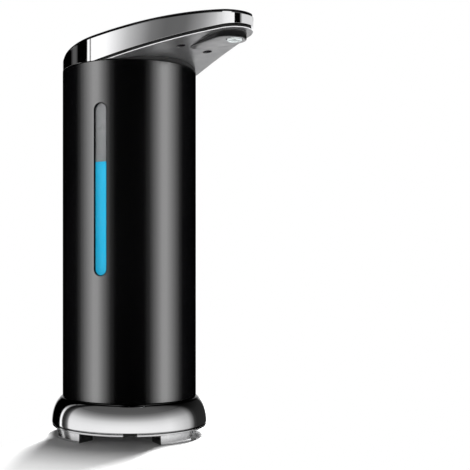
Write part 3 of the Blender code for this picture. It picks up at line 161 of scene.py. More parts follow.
# Refill cap, buttons and light
CAP_ALONG = -4.0 * MM
CAP_RADIUS = 14.0 * MM
CAP_PROUD = 0.2 * MM
CAP_ROUND = 0.35 * MM
CAP_PLUG = 9.4 * MM
CAP_PLUG_DEPTH = 8.0 * MM
CAP_GROOVE = (8.4 * MM, 5.8 * MM, 4.0 * MM)
COIN_SLOT = (16.0 * MM, 2.4 * MM, 0.9 * MM)
BUTTON_ALONG = 30.0 * MM
BUTTON_ACROSS = 6.5 * MM
BUTTON_RADIUS = 3.2 * MM
BUTTON_PROUD = 0.5 * MM
BUTTON_ROUND = 0.3 * MM
BUTTON_FLANGE = (3.9 * MM, 0.5 * MM)
MARK = (3.0 * MM, 0.6 * MM, 0.3 * MM)
LIGHT_ALONG = 22.5 * MM
LIGHT_RADIUS = 1.2 * MM
LIGHT_DEPTH = 3.7 * MM

# Nozzle and sensor windows
NOZZLE_ALONG = 68.4 * MM
NOZZLE_RADIUS = 3.3 * MM
NOZZLE_MOUTH = 2.3 * MM
NOZZLE_BORE = 1.3 * MM
NOZZLE_BOTTOM = PAD_FACE - 0.8 * MM
NOZZLE_TOP = NOZZLE_BOTTOM + 10.0 * MM
NOZZLE_MOUTH_DEPTH = 4.0 * MM
NOZZLE_ROUND = 0.45 * MM
SENSOR_ALONG = 44.2 * MM
SENSOR_ACROSS = 8.5 * MM
WINDOW_RADIUS = 1.8 * MM
WINDOW_RECESS = 0.08 * MM
WINDOW_DOME = 0.05 * MM

# How dark the painted shade is on the faces in the object's own shade, and how far up or out a face
# looks for it to be one of these or of a curved wall
SEAM_PAINTED_SHADE = 0.98
FOOT_SIDE_PAINTED_SHADE = 0.85
PAD_WALL_PAINTED_SHADE = 0.8
SKIRT_UNDER = -0.3
SKIRT_SHOULDER = 0.72
COVER_LEDGE = 0.5
FOOT_UPRIGHT = 0.5
FOOT_OUTWARD = 0.6
PAD_UPRIGHT = 0.7
WALL_UPRIGHT = 0.3
WALL_TOLERANCE = 0.12 * MM
HEAD_LEVEL = 0.8
HEAD_TOLERANCE = 0.08 * MM

# Camera: the photograph is 470 pixels wide and high
PHOTO_SIZE = 470.0
PHOTO_FOCAL = 920.0
PHOTO_CENTRE = (142.8, 265.5)
SENSOR_WIDTH = 36.0
CAMERA_AZIMUTH = math.radians(-42.34)
CAMERA_DISTANCE = 447.65 * MM
CAMERA_RIGHT = 6.54 * MM
CAMERA_HEIGHT = 81.1 * MM
CAMERA_CLIP = (0.01, 20.0)

# Effects: how the pattern is stretched, and its wide noise's scale as a share of the fine one's
GRAIN, GLOSS, DRAWN = "moulded_grain", "wiped_gloss", "drawn_metal"
EFFECTS = {GRAIN: ((1, 1, 1), 0.05), GLOSS: ((1, 1, 0.35), 0.03), DRAWN: ((1, 1, 0.04), 0.1)}
COARSE_DETAIL = 3.0
FINE_DETAIL = 2.0
TONE_SPAN = (0.3, 0.7)

# Finishes: effect and its scale, two colours, two roughnesses, relief as strength and depth in
# millimetres, and metallic where it isn't 0
FINISHES = {
    "chrome": (GLOSS, 900, (0.86, 0.86, 0.865), (0.8, 0.8, 0.81), (0.03, 0.07), (0.02, 0.01), 1.0),
    "gloss_black_tube": (GLOSS, 1400, (0.0005, 0.0005, 0.0006), (0.0009, 0.0009, 0.001), (0.17, 0.2),
                         (0.02, 0.01)),
    "gloss_black": (GLOSS, 1100, (0.004, 0.004, 0.0045), (0.007, 0.007, 0.0075), (0.07, 0.12),
                    (0.02, 0.01)),
    "satin_black": (GRAIN, 3500, (0.018, 0.018, 0.02), (0.028, 0.028, 0.03), (0.36, 0.46), (0.2, 0.04)),
    "silver_plastic": (GRAIN, 4500, (0.46, 0.46, 0.465), (0.4, 0.4, 0.41), (0.28, 0.34),
                       (0.05, 0.01), 0.9),
    "cover_grey": (GRAIN, 3500, (0.74, 0.74, 0.745), (0.66, 0.66, 0.67), (0.14, 0.22), (0.1, 0.02), 0.9),
    "black_plastic": (GRAIN, 3000, (0.02, 0.02, 0.02), (0.03, 0.03, 0.03), (0.4, 0.55), (0.25, 0.05)),
    "white_plastic": (GRAIN, 3000, (0.5, 0.53, 0.53), (0.46, 0.49, 0.49), (0.32, 0.42), (0.15, 0.03)),
    "grey_plastic": (GRAIN, 3000, (0.38, 0.38, 0.4), (0.33, 0.33, 0.35), (0.4, 0.5), (0.2, 0.04)),
    "clear_plastic": (GRAIN, 1500, (0.38, 0.385, 0.39), (0.34, 0.345, 0.35), (0.25, 0.35), (0.1, 0.03)),
    "lens": (GLOSS, 900, (0.02, 0.022, 0.024), (0.03, 0.032, 0.035), (0.05, 0.1), (0.03, 0.01)),
    "lens_dark": (GLOSS, 1500, (0.004, 0.003, 0.004), (0.007, 0.005, 0.007), (0.08, 0.14), (0.03, 0.01)),
    "soap": (GRAIN, 300, (0.012, 0.46, 0.76), (0.02, 0.5, 0.8), (0.1, 0.16), (0.05, 0.04)),
    "rubber": (GRAIN, 2600, (0.012, 0.012, 0.012), (0.02, 0.02, 0.02), (0.65, 0.8), (0.3, 0.06)),
    "brass": (DRAWN, 2500, (0.72, 0.53, 0.24), (0.6, 0.44, 0.2), (0.22, 0.35), (0.15, 0.03), 1.0),
    "steel": (DRAWN, 2500, (0.6, 0.6, 0.61), (0.5, 0.5, 0.51), (0.22, 0.36), (0.15, 0.03), 1.0),
    "motor_steel": (DRAWN, 1800, (0.55, 0.55, 0.56), (0.45, 0.45, 0.46), (0.25, 0.4), (0.15, 0.03), 1.0),
    "cell": (GLOSS, 1200, (0.12, 0.3, 0.18), (0.08, 0.24, 0.15), (0.25, 0.35), (0.05, 0.02)),
    "board": (GRAIN, 900, (0.02, 0.22, 0.08), (0.03, 0.32, 0.12), (0.35, 0.5), (0.2, 0.05)),
    "light": (GRAIN, 2000, (0.6, 0.08, 0.05), (0.7, 0.12, 0.08), (0.15, 0.25), (0.05, 0.02)),
    "wire": (GRAIN, 1500, (0.5, 0.05, 0.04), (0.4, 0.04, 0.03), (0.4, 0.5), (0.1, 0.04)),
}
FINISH_EXTRAS = {
    "lens": {"Alpha": 0.12},
    "lens_dark": {"Specular IOR Level": 0.01},
    # The soap glows: painted light that keeps it bright behind the window's clear layers
    "soap": {"Emission Color": (0.012, 0.46, 0.76, 1.0), "Emission Strength": 0.7},
}
TANK_ALPHA = (0.04, 0.9)
# The near-black colour that painted shade turns marked faces towards
PAINTED_SHADE_COLOUR = (0.003, 0.003, 0.003, 1.0)
WHITE = (1.0, 1.0, 1.0, 1.0)
BLACK = (0.0, 0.0, 0.0, 1.0)

# Studio: tones are shares of full white, places round the tank's axis are in degrees to the right of the
# camera's side, and distances from the axis and heights are in metres
AMBIENT = 0.12
FLOOR_SIZE = 12.0
FLOOR_COLOUR = (0.92, 0.92, 0.92, 1.0)
FLOOR_ROUGHNESS = 0.9
# Painted light on the floor: a glow that fades the shadow with distance from the axis, and a glow beside
# the shadow's middle line that narrows it, held back near the base
FLOOR_GLOW = ((0.045, 0.0), (0.08, 0.57), (0.12, 1.0))
SHADOW_TURN = -24
PAINTED_SHADOW_EDGE = (0.0255, 0.0315)
BASE_SHADE = (0.0365, 0.0405)
FAR_EDGE = (0.0315, 0.036)
FAR_SHADE = (0.0405, 0.045)
FAR_FLOOR = (0.12, 0.13)

# Tent: tones by place, and rows as distance, height and share of the tone
TENT_STEPS = 720
TENT_LOW = 0.262
TENT_HIGH = 0.325
BAND_ROWS = ((TENT_LOW, 0.2203, 1.0), (TENT_HIGH, 0.278, 1.0))
BAND_TONES = (
    (-180, 0.8), (-160, 0.8), (-152, 0.0), (-112, 0.0), (-104, 0.11), (-97, 0.11), (-92, 0.0),
    (-71.5, 0.0), (-70.2, 1.2), (-66.5, 1.2), (-65.5, 0.25), (-64, 0.25), (-63, 1.25), (-57, 1.25),
    (-52.5, 0.6), (-48, 0.21), (-45, 0.14), (-41, 0.15), (-37.5, 0.37), (-34, 0.82), (-15, 1.0),
    (22, 1.15), (24, 0.0), (44, 0.0), (55, 0.82), (180, 0.85))
SKIRT_ROWS = [(TENT_LOW, *row) for row in (
    (0.0, 1.0), (0.032, 0.95), (0.074, 0.76), (0.106, 0.5), (0.14, 0.32), (0.175, 0.2), (0.2203, 0.13))]
SKIRT_HIGH_ROWS = ((TENT_HIGH, 0.278, 0.12), (TENT_HIGH, 0.38, 0.1), (TENT_HIGH, 1.5, 0.09))
SKIRT_TONES = (
    (-180, 0.7), (-160, 0.7), (-150, 0.0), (-116, 0.0), (-114.5, 1.2), (-110, 1.2), (-108.5, 0.03),
    (-103, 0.03), (-98, 0.12), (-95, 0.3), (-92.5, 0.9), (-89, 1.0), (58, 1.0), (80, 0.75), (92, 0.6),
    (105, 0.05), (112, 0.025), (150, 0.025), (160, 0.7), (180, 0.7))
FLOOR_SHEET = 0.4 * MM
# Shares of the mirrored floor's tone along each line of sight: dimmer near the base, painted shade for the
# floor's shade there
FLOOR_SHARES = ((0.004, 0.55), (0.05, 0.8), (0.16, 1.0), (1.0, 1.0))
FLOOR_VIEW = 86
CEILING = 1.5

# Soft cards round the object; those of the band and the tube stand a little further out one by one.
# The other cards: places, width, distance from the axis, heights, tone and the group that they light
CARD_SPACING = 0.001
BAND_CARDS = ((128, 76, 0.3), (138, 46, 0.4), (-130, 60, 0.3), (78, 40, 0.3), (-60, 60, 0.2))
BAND_CARD_RADIUS = 0.19
BAND_CARD_ROWS = (0.02, 0.18)
TUBE_STRIPS = ((9, 0, 1.33), (16, 1, 1.33), (23.5, 2, 1.33), (32.5, 3.2, 1.33), (42.5, 5, 1.0),
               (55, 6.5, 0.3))
STRIP_PLACES = (("left", -39.6, -1), ("right", 42.6, 1), ("back", 176, 0))
STRIP_RADIUS = 0.05
STRIP_ROWS = (0.014, 0.32)
CARDS = {
    "top_card": ((25, 115, 205, 295), 50, 0.3, (0.32, 0.75), 1.3, "top"),
    "under_bright": ((160.5,), 21, 0.25, (0.0, 0.17), 0.72, "under"),
    "under_dim": ((180.5,), 19, 0.25, (0.0, 0.17), 0.04, "under"),
    "lip_card": ((-60, -25, 10, 45, 80, 115, 150), 36, 0.25, (0.18, 0.34), 2.3, "lip"),
    "low_lip_card": ((-135, -100, -60, -25, 10, 45, 80, 115), 36, 0.25, (0.0, 0.18), 0.6, "lip"),
}

# Lights as place, size and strength, and the sun's place, strength and width
FILL = ((-40, 0.26, 0.26), (0.2, 0.1), 6.0)
OUTLET_LIGHT = ((20, 0.25, 0.08), (0.15, 0.15), 0.9)
KEY = ((158, 1.0, 0.85), 11.0, math.radians(22))

# The pieces that a cloth, card or light reaches
LIT_GROUPS = {
    "chrome": ("skirt_ring", "cover_plate", "foot_1", "foot_2", "foot_3", "foot_4", "polished_band"),
    "band": ("polished_band",),
    "top": ("gloss_panel", "refill_cap", "plus_key", "minus_key"),
    "tube": ("body_tube",),
    "under": ("lower_shell", "nozzle_pad"),
    "lip": ("lower_shell",),
    "fill": ("lower_shell", "tank_wall", "soap_body", "level_lens"),
    "outlet_light": ("outlet",),
}


def arc(centre, radius, start, end, steps):
    """Points on an arc, both ends included."""
    angles = [start + (end - start) * step / steps for step in range(steps + 1)]
    return [(centre[0] + radius * math.cos(a), centre[1] + radius * math.sin(a)) for a in angles]


def spot(along, across=0.0):
    """The (x, y) of a place on the head."""
    return across, AXIS_Y - along


def top_height(along):
    """Height of the head's top: a cubic curve from the back to the tip."""
    share = (along + SLEEVE_RADIUS) / (SLEEVE_RADIUS + SPOUT_REACH)
    rest = 1 - share
    rear, rear_handle, tip_handle, tip = TOP_RISES
    rise = rest**3 * rear + 3 * rest**2 * share * rear_handle
    return RIM_HEIGHT + rise + 3 * rest * share**2 * tip_handle + share**3 * tip


def under_curve(along):
    """Height of the spout's underside, carried on under the body."""
    share = along / SPOUT_REACH
    rise = -UNDER_AXIS_DROP + (UNDER_TIP_RISE + UNDER_AXIS_DROP) * share
    return RIM_HEIGHT + rise + 4 * UNDER_BULGE * share * (1 - share)


def under_height(along):
    return max(under_curve(along), HEAD_BASE)


def lip_top(along):
    return max(under_curve(along) + SHELL_LIP, HEAD_BASE)


def groove_top(along):
    return max(under_curve(along) + SHELL_LIP + GROOVE_HEIGHT, HEAD_BASE)


def floor_top(along):
    return under_height(along) + SHELL_FLOOR


def panel_bottom(along):
    return max(top_height(along) - PANEL_DEPTH, floor_top(along) + GAP)


def panel_ledge(along):
    return top_height(along) - PANEL_EDGE


def leaf_half(inset):
    """One half of the head seen from above, as (along, across) points from the back to the tip."""
    to_back = SIDE_RADIUS - SLEEVE_RADIUS
    to_tip = SIDE_RADIUS - TIP_RADIUS
    centre_along = (to_back**2 - to_tip**2 + TIP_CENTRE**2) / (2 * TIP_CENTRE)
    centre_across = math.sqrt(to_back**2 - centre_along**2)
    back_angle = math.atan2(centre_across, -centre_along)
    tip_angle = math.atan2(centre_across, TIP_CENTRE - centre_along)
    half = arc((0, 0), SLEEVE_RADIUS - inset, math.pi, back_angle, BACK_STEPS)
    half += arc((centre_along, -centre_across), SIDE_RADIUS - inset, back_angle, tip_angle, SIDE_STEPS)[1:]
    half += arc((TIP_CENTRE, 0), TIP_RADIUS - inset, tip_angle, 0, TIP_STEPS)[1:]
    return half


def leaf_loop(inset, height_of):
    """The whole outline at an inset, each point at the height that belongs to its place."""
    half = leaf_half(inset)
    loop = half + [(along, -across) for along, across in reversed(half[1:-1])]
    return [(*spot(along, across), height_of(along)) for along, across in loop]


def rounded_edge(inset, height_of, radius):
    """Insets and heights that round off the edge between an upright wall and a top."""
    return [(inset + radius * (1 - math.cos(angle)),
             lambda along, lower=radius * (math.sin(angle) - 1): height_of(along) + lower)
            for angle in QUARTER]


def linked(name, data):
    """A new object in the scene."""
    made = bpy.data.objects.new(name, data)
    bpy.context.collection.objects.link(made)
    return made


def new_object(name, shape):
    """Turn a bmesh into a named object whose faces point out."""
    bmesh.ops.recalc_face_normals(shape, faces=shape.faces)
    mesh = bpy.data.meshes.new(name)
    shape.to_mesh(mesh)
    shape.free()
    return linked(name, mesh)


def bridge(shape, first, second):
    """Quads, or triangles at a single point, between two rows of points."""
    count = max(len(first), len(second))
    for step in range(count):
        after = (step + 1) % count
        corners = [first[step % len(first)], first[after % len(first)],
                   second[after % len(second)], second[step % len(second)]]
        kept = list(dict.fromkeys(corners))
        if len(kept) > 2:
            shape.faces.new(kept)


def bridged(shape, rows):
    """Rows of points put in a mesh, each bridged to the next."""
    made = [[shape.verts.new(point) for point in row] for row in rows]
    for first, second in zip(made, made[1:]):
        bridge(shape, first, second)
    return made[0], made[-1]


def skinned(name, rows):
    """Rows of points skinned in order, with a face at each end."""
    shape = bmesh.new()
    for row in bridged(shape, rows):
        shape.faces.new(row)
    return new_object(name, shape)


def stacked(name, edges, capped):
    """The head's outline at each inset and height, skinned in order; both ends are closed, or joined."""
    shape = bmesh.new()
    ends = bridged(shape, [leaf_loop(*edge) for edge in edges])
    if capped:
        for row in ends:
            for step in range(len(row) // 2):
                corners = [row[step], row[step + 1], row[-step - 1], row[-step]]
                shape.faces.new(list(dict.fromkeys(corners)))
    else:
        bridge(shape, *reversed(ends))
    return new_object(name, shape)


def turned(name, profile, steps=TURN_STEPS, place=(0, AXIS_Y)):
    """A closed section of (radius, height) points turned round an upright axis."""
    shape = bmesh.new()
    rows = []
    for radius, height in profile:
        angles = [FULL_TURN * step / steps for step in range(steps if radius > 0 else 1)]
        rows.append([shape.verts.new((place[0] + radius * math.cos(a), place[1] + radius * math.sin(a),
                                      height)) for a in angles])
    for first, second in zip(rows, rows[1:] + rows[:1]):
        if len(first) > 1 or len(second) > 1:
            bridge(shape, first, second)
    return new_object(name, shape)


def low_edge(radius, height, size):
    """The rounded lower edge of a turned wall."""
    return arc((radius - size, height + size), size, -math.pi / 2, 0, ROUND_STEPS)


def high_edge(radius, height, size):
    """The rounded upper edge of a turned wall."""
    return arc((radius - size, height - size), size, 0, math.pi / 2, ROUND_STEPS)


def prism(name, outline, low, high):
    """An outline of (x, y) points pulled up from one height to another."""
    return skinned(name, [[(x, y, z) for x, y in outline] for z in (low, high)])


def capsule(half_length, radius):
    """Two half circles joined by straight sides, long along Y."""
    return (arc((0, half_length), radius, 0, math.pi, TIP_STEPS)
            + arc((0, -half_length), radius, math.pi, FULL_TURN, TIP_STEPS))


def rectangle(length, width):
    """The corners of a rectangle round the origin, long along X."""
    return [(side * length / 2, end * width / 2) for side, end in ((-1, -1), (1, -1), (1, 1), (-1, 1))]


def settle(piece):
    """Apply a piece's modifiers to its mesh."""
    bpy.context.view_layer.update()
    evaluated = piece.evaluated_get(bpy.context.evaluated_depsgraph_get())
    mesh = bpy.data.meshes.new_from_object(evaluated)
    piece.modifiers.clear()
    piece.data = mesh
    mesh.name = piece.name


def carve(piece, *tools, operation="DIFFERENCE"):
    """Cut a piece with tools, which are then thrown away, and give it back."""
    for tool in tools:
        modifier = piece.modifiers.new("carve", "BOOLEAN")
        modifier.operation = operation
        modifier.solver = "EXACT"
        modifier.object = tool
        settle(piece)
        bpy.data.objects.remove(tool, do_unlink=True)
    return piece


def soften(piece, width, angle=40):
    """Round the sharp edges of a piece."""
    modifier = piece.modifiers.new("soften", "BEVEL")
    modifier.width = width
    modifier.segments = SOFT_STEPS
    modifier.limit_method = "ANGLE"
    modifier.angle_limit = math.radians(angle)
    settle(piece)


def shade(piece, angle=35):
    """Smooth a piece but for its edges sharper than the angle."""
    piece.data.shade_smooth()
    piece.data.set_sharp_from_angle(angle=math.radians(angle))
    return piece


def true_normals(piece, rule):
    """Give faces of a curved wall the wall's own normals; the rule returns them for a face, or nothing."""
    mesh = piece.data
    normals = [Vector(corner_normal.vector) for corner_normal in mesh.corner_normals]
    for face in mesh.polygons:
        wall = rule(face.center, face.normal)
        if wall:
            for index in face.loop_indices:
                normals[index] = wall(mesh.vertices[mesh.loops[index].vertex_index].co)
    mesh.normals_split_custom_set(normals)
    return piece


def darken(piece, chosen, share):
    """Mark the faces that sit in the object's own shade with how dark their painted shade is."""
    marks = piece.data.attributes.new("painted_shade", "FLOAT", "FACE")
    for face in piece.data.polygons:
        marks.data[face.index].value = share if chosen(face.center, face.normal) else 0.0
    return piece


def outward(point):
    """The level direction from the tank's axis to a point."""
    return Vector((point.x, point.y - AXIS_Y, 0)).normalized()


def round_wall(radius):
    """A rule for the outer wall of a tube round the tank's axis."""
    def rule(centre, normal):
        off = abs(math.hypot(centre.x, centre.y - AXIS_Y) - radius)
        return outward if off < WALL_TOLERANCE and abs(normal.z) < WALL_UPRIGHT else None

    return rule


def curved_face(height_of, side):
    """A rule for the top or the underside of the head; side is 1 for up and -1 for down."""
    def square(point):
        along = AXIS_Y - point.y
        rise = height_of(along + NORMAL_STEP) - height_of(along - NORMAL_STEP)
        return Vector((0, rise / (2 * NORMAL_STEP), 1)).normalized() * side

    def rule(centre, normal):
        off = abs(centre.z - height_of(AXIS_Y - centre.y))
        return square if off < HEAD_TOLERANCE and normal.z * side > HEAD_LEVEL else None

    return rule


def on_top(along, across=0.0):
    """Matrix that lays a piece made round its own Z axis square on the head's top."""
    rise = top_height(along + SLOPE_STEP) - top_height(along - SLOPE_STEP)
    place = Matrix.Translation((*spot(along, across), top_height(along)))
    return place @ Matrix.Rotation(-math.atan2(rise, 2 * SLOPE_STEP), 4, "X")


def laid(piece, matrix):
    piece.data.transform(matrix)
    return piece


def disc(name, radius, low, high, place=(0, 0), steps=SMALL_STEPS):
    """A plain round tool or plug."""
    return turned(name, [(0, low), (radius, low), (radius, high), (0, high)], steps, place)


def skirt_ring():
    """The flared chrome ring, with a small rounding where it meets the cover."""
    middle = BASE_RADIUS - SKIRT_FLARE
    top_angle = math.acos((SLEEVE_RADIUS + GAP - middle) / SKIRT_FLARE)
    rise = (SEAM_HEIGHT - LIP_HEIGHT) / math.sin(top_angle)
    inner_angle = math.acos((SKIRT_LEDGE - middle) / (SKIRT_FLARE - SKIRT_WALL))

    def flared(less, angle):
        """A point on a wall so much less wide and high than the outer one."""
        return middle + (SKIRT_FLARE - less) * math.cos(angle), LIP_HEIGHT + (rise - less) * math.sin(angle)

    shares = [step / SKIRT_STEPS for step in range(SKIRT_STEPS + 1)]
    outer = [flared(0, top_angle * share) for share in shares]
    outer = [point for point in outer if point[1] > LIP_HEIGHT + COVER_ROUND]
    inner = [flared(SKIRT_WALL, inner_angle * (1 - share)) for share in shares]
    lip = low_edge(BASE_RADIUS, LIP_HEIGHT, COVER_ROUND)
    ring = shade(turned("skirt_ring", lip + outer + [(SKIRT_LEDGE, SEAM_HEIGHT)] + inner))
    # Painted shade on the faces that look down into the seam over the cover and up into the seam by the
    # tube
    return darken(ring, lambda centre, normal: not SKIRT_UNDER <= normal.z <= SKIRT_SHOULDER, SEAM_PAINTED_SHADE)


def cover_and_feet():
    """The battery cover: rounded plate, spigot, four feet and the notch in its rim."""
    rim_top = COVER_TOP - RIM_DROP
    ledge = COVER_RADIUS - RIM_STEP
    rim = low_edge(COVER_RADIUS, COVER_UNDER, COVER_ROUND) + high_edge(COVER_RADIUS, rim_top, COVER_ROUND)
    cover = turned("cover_plate", [(0, COVER_UNDER)] + rim + [
        (ledge, rim_top), (ledge, COVER_TOP), (SPIGOT_OUTER, COVER_TOP), (SPIGOT_OUTER, SPIGOT_TOP),
        (SPIGOT_INNER, SPIGOT_TOP), (SPIGOT_INNER, COVER_TOP), (0, COVER_TOP)])
    deep = NOTCH_DEPTH + OVERRUN
    notch = prism("notch", rectangle(NOTCH_WIDTH, deep), COVER_UNDER - OVERRUN, COVER_TOP + OVERRUN)
    reach = COVER_RADIUS - NOTCH_DEPTH / 2 + OVERRUN / 2
    place = Matrix.Translation((reach * math.sin(NOTCH_ANGLE), AXIS_Y - reach * math.cos(NOTCH_ANGLE), 0))
    notch_place = place @ Matrix.Rotation(NOTCH_ANGLE, 4, "Z")
    carve(cover, laid(notch, notch_place))
    to_notch = notch_place.inverted()

    def shaded(centre, normal):
        """Whether a face lies in the notch or looks up into the seam."""
        inside = to_notch @ centre
        in_notch = max(abs(inside.x) - NOTCH_WIDTH / 2, abs(inside.y) - deep / 2) < THINNEST
        return in_notch or normal.z > COVER_LEDGE

    # Painted shade in the notch and on the ledge that looks up into the seam under the ring
    made = [darken(shade(cover), shaded, SEAM_PAINTED_SHADE)]
    for number in range(FOOT_COUNT):
        middle = FOOT_TURN + FULL_TURN * number / FOOT_COUNT - math.pi / 2
        start, end = middle - FOOT_SPAN / 2, middle + FOOT_SPAN / 2
        outline = (arc(AXIS, FOOT_OUTER, start, end, FOOT_STEPS)
                   + arc(AXIS, FOOT_INNER, end, start, FOOT_STEPS))
        foot = prism(f"foot_{number + 1}", outline, 0, COVER_UNDER + COVER_ROUND)
        soften(foot, FOOT_ROUND)
        # Painted shade on the sides of each foot
        made.append(darken(shade(foot), foot_side, FOOT_SIDE_PAINTED_SHADE))
    return made


def foot_side(centre, normal):
    """Whether a face of a foot looks along the rim instead of out of it."""
    return abs(normal.z) < FOOT_UPRIGHT and abs(normal.dot(outward(centre))) < FOOT_OUTWARD


def slot_plug(half_width):
    """A tool through the tube's wall: the level slot's shape, or a narrower one."""
    outline = capsule((SLOT_TOP - SLOT_BOTTOM - SLOT_WIDTH) / 2, half_width)
    across = Vector((math.cos(SLOT_ANGLE), math.sin(SLOT_ANGLE), 0))
    out = Vector((math.sin(SLOT_ANGLE), -math.cos(SLOT_ANGLE), 0))
    turn = Matrix((across, Vector((0, 0, 1)), out)).transposed().to_4x4()
    place = Matrix.Translation((0, AXIS_Y, (SLOT_BOTTOM + SLOT_TOP) / 2)) @ turn
    return laid(prism("slot", outline, TANK_OUTER - OVERRUN, SLEEVE_RADIUS + OVERRUN), place)


def slot_strip(name, radius, half_width):
    """A strip in the level slot, curved as the tube is."""
    strip = turned(name, [(LENS_INNER, SLOT_BOTTOM), (radius, SLOT_BOTTOM), (radius, SLOT_TOP),
                          (LENS_INNER, SLOT_TOP)])
    return carve(strip, slot_plug(half_width), operation="INTERSECT")


def tube_with_slot():
    """The gloss black tube with its level slot."""
    low = SEAM_HEIGHT + GAP
    inner = SLEEVE_RADIUS - SLEEVE_WALL
    small = SLEEVE_WALL / 4
    outer = low_edge(SLEEVE_RADIUS, low, small) + high_edge(SLEEVE_RADIUS, RIM_HEIGHT, small)
    tube = turned("body_tube", [(inner, low)] + outer + [(inner, RIM_HEIGHT)])
    return true_normals(shade(carve(tube, slot_plug(SLOT_WIDTH / 2))), round_wall(SLEEVE_RADIUS))


def level_lens():
    """The clear strip that fills the slot."""
    radius = SLEEVE_RADIUS - LENS_RECESS
    lens = slot_strip("level_lens", radius, SLOT_WIDTH / 2 - LENS_MARGIN)
    return true_normals(shade(lens), round_wall(radius))


def slot_liner():
    """The black edge round the level strip."""
    liner = slot_strip("slot_liner", SLEEVE_RADIUS - LINER_RECESS, SLOT_WIDTH / 2 - THINNEST)
    return shade(carve(liner, slot_plug(SLOT_WIDTH / 2 - LENS_MARGIN + THINNEST)))


def tank_and_soap():
    """The clear tank with its skirt, and the soap in it."""
    floor_low, floor_high = TANK_FLOOR
    tank = turned("tank_wall", [
        (TANK_INNER, DECK_TOP + GAP), (TANK_OUTER, DECK_TOP + GAP), (TANK_OUTER, TANK_TOP),
        (TANK_INNER, TANK_TOP), (TANK_INNER, floor_high), (0, floor_high), (0, floor_low),
        (TANK_INNER, floor_low)])
    soap = disc("soap_body", TANK_INNER - GAP, floor_high + GAP, SOAP_LEVEL, (0, AXIS_Y), TURN_STEPS)
    return shade(tank), shade(soap)


def collar_ring():
    """The dark ring that fills the wedge between the tube's rim and the spout's underside."""
    collar = turned("collar_ring", [
        (COLLAR_INNER, COLLAR_FOOT), (COLLAR_OUTER, COLLAR_FOOT), (COLLAR_OUTER, HEAD_BASE),
        (COLLAR_RADIUS, HEAD_BASE), (COLLAR_RADIUS, RIM_HEIGHT + UNDER_TIP_RISE),
        (COLLAR_INNER, RIM_HEIGHT + UNDER_TIP_RISE)])
    start, end = -SLEEVE_RADIUS - OVERRUN, SLEEVE_RADIUS + OVERRUN
    steps = 2 * SIDE_STEPS
    stations = [start + (end - start) * step / steps for step in range(steps + 1)]
    outline = [(along, under_height(along) - GAP) for along in stations]
    above = prism("collar_trim", outline + [(end, CLEAR_ABOVE), (start, CLEAR_ABOVE)], start, end)
    upright = Matrix(((0, 0, -1, 0), (-1, 0, 0, AXIS_Y), (0, 1, 0, 0), (0, 0, 0, 1)))
    return true_normals(shade(carve(collar, laid(above, upright))), round_wall(COLLAR_RADIUS))


def mouth_outline():
    """The opening of the shell over the tank: a circle held inside the leaf."""
    half = leaf_half(PLUG_INSET + MOUTH_INSET)
    outline = []
    for along, across in arc((0, 0), SHELL_MOUTH, 0, FULL_TURN, TURN_STEPS)[:-1]:
        limit = min(half, key=lambda point: abs(point[0] - along))[1]
        outline.append(spot(along, max(-limit, min(limit, across))))
    return outline


def lower_shell():
    """The silver underside with its bright lip."""
    def lip(along):
        return max(lip_top(along), under_height(along) + THINNEST)

    def chamfer(along):
        return min(LIP_CHAMFER, (lip(along) - under_height(along)) / 3)

    shell = stacked("lower_shell", [
        (SHY * 4, under_height), (SHY, lambda along: under_height(along) + chamfer(along)),
        (SHY, lambda along: lip(along) - min(SHY, chamfer(along))), (SHY * 2, lip), (PLUG_INSET, lip),
        (PLUG_INSET, floor_top)], capped=True)
    tools = [prism("mouth", mouth_outline(), RIM_HEIGHT, CLEAR_ABOVE),
             disc("nozzle_hole", NOZZLE_RADIUS + GAP, PAD_FACE, CLEAR_ABOVE, spot(NOZZLE_ALONG))]
    tools += [disc("sensor_hole", WINDOW_RADIUS + GAP, RIM_HEIGHT, CLEAR_ABOVE,
                   spot(SENSOR_ALONG, side * SENSOR_ACROSS)) for side in (-1, 1)]
    return true_normals(shade(carve(shell, *tools)), curved_face(under_height, -1))


def pad_outline(inset):
    """The teardrop pad: two circles joined by straight sides."""
    (front_along, front_radius), (tail_along, tail_radius) = PAD_FRONT, PAD_TAIL
    front = math.pi - math.acos((front_radius - tail_radius) / (front_along - tail_along))
    outline = arc((front_along, 0), front_radius - inset, -front, front, 2 * TIP_STEPS)
    outline += arc((tail_along, 0), tail_radius - inset, front, FULL_TURN - front, TIP_STEPS)
    return [spot(along, across) for along, across in outline]


def nozzle_pad():
    """The flat pad round the nozzle, which grows out of the rising underside."""
    rows = [[(x, y, PAD_FACE + PAD_ROUND * (1 - math.cos(angle)))
             for x, y in pad_outline(PAD_ROUND * (1 - math.sin(angle)))] for angle in QUARTER]
    rows.append([(x, y, max(under_height(AXIS_Y - y) + SHELL_FLOOR / 2, PAD_FACE + PAD_ROUND + THINNEST))
                 for x, y in pad_outline(0)])
    pad = skinned("nozzle_pad", rows)
    carve(pad, disc("pad_hole", NOZZLE_RADIUS + GAP, PAD_FACE - OVERRUN, CLEAR_ABOVE, spot(NOZZLE_ALONG)))
    # Painted shade on the pad's upright walls
    return darken(shade(pad), lambda centre, normal: abs(normal.z) < PAD_UPRIGHT, PAD_WALL_PAINTED_SHADE)


def polished_band():
    """The chrome side band, chamfered at its upper edge."""
    def band_top(along):
        return panel_ledge(along) - GAP

    def chamfer(along):
        return min(BAND_CHAMFER, (band_top(along) - groove_top(along)) / 3)

    small = SHY / 2
    return shade(stacked("polished_band", [
        (small, groove_top), (0, lambda along: groove_top(along) + small),
        (0, lambda along: band_top(along) - chamfer(along)), (BAND_CHAMFER_IN, band_top),
        (BAND_WALL, band_top), (BAND_WALL, groove_top)], capped=False), angle=25)


def groove_seal():
    """The black seal in the groove under the band."""
    def low(along):
        return lip_top(along) + GAP / 2

    def high(along):
        return max(groove_top(along) - GAP / 2, low(along) + THINNEST)

    return shade(stacked("groove_seal", [(GROOVE_DEPTH, low), (GROOVE_DEPTH, high), (BAND_WALL, high),
                                         (BAND_WALL, low)], capped=False))


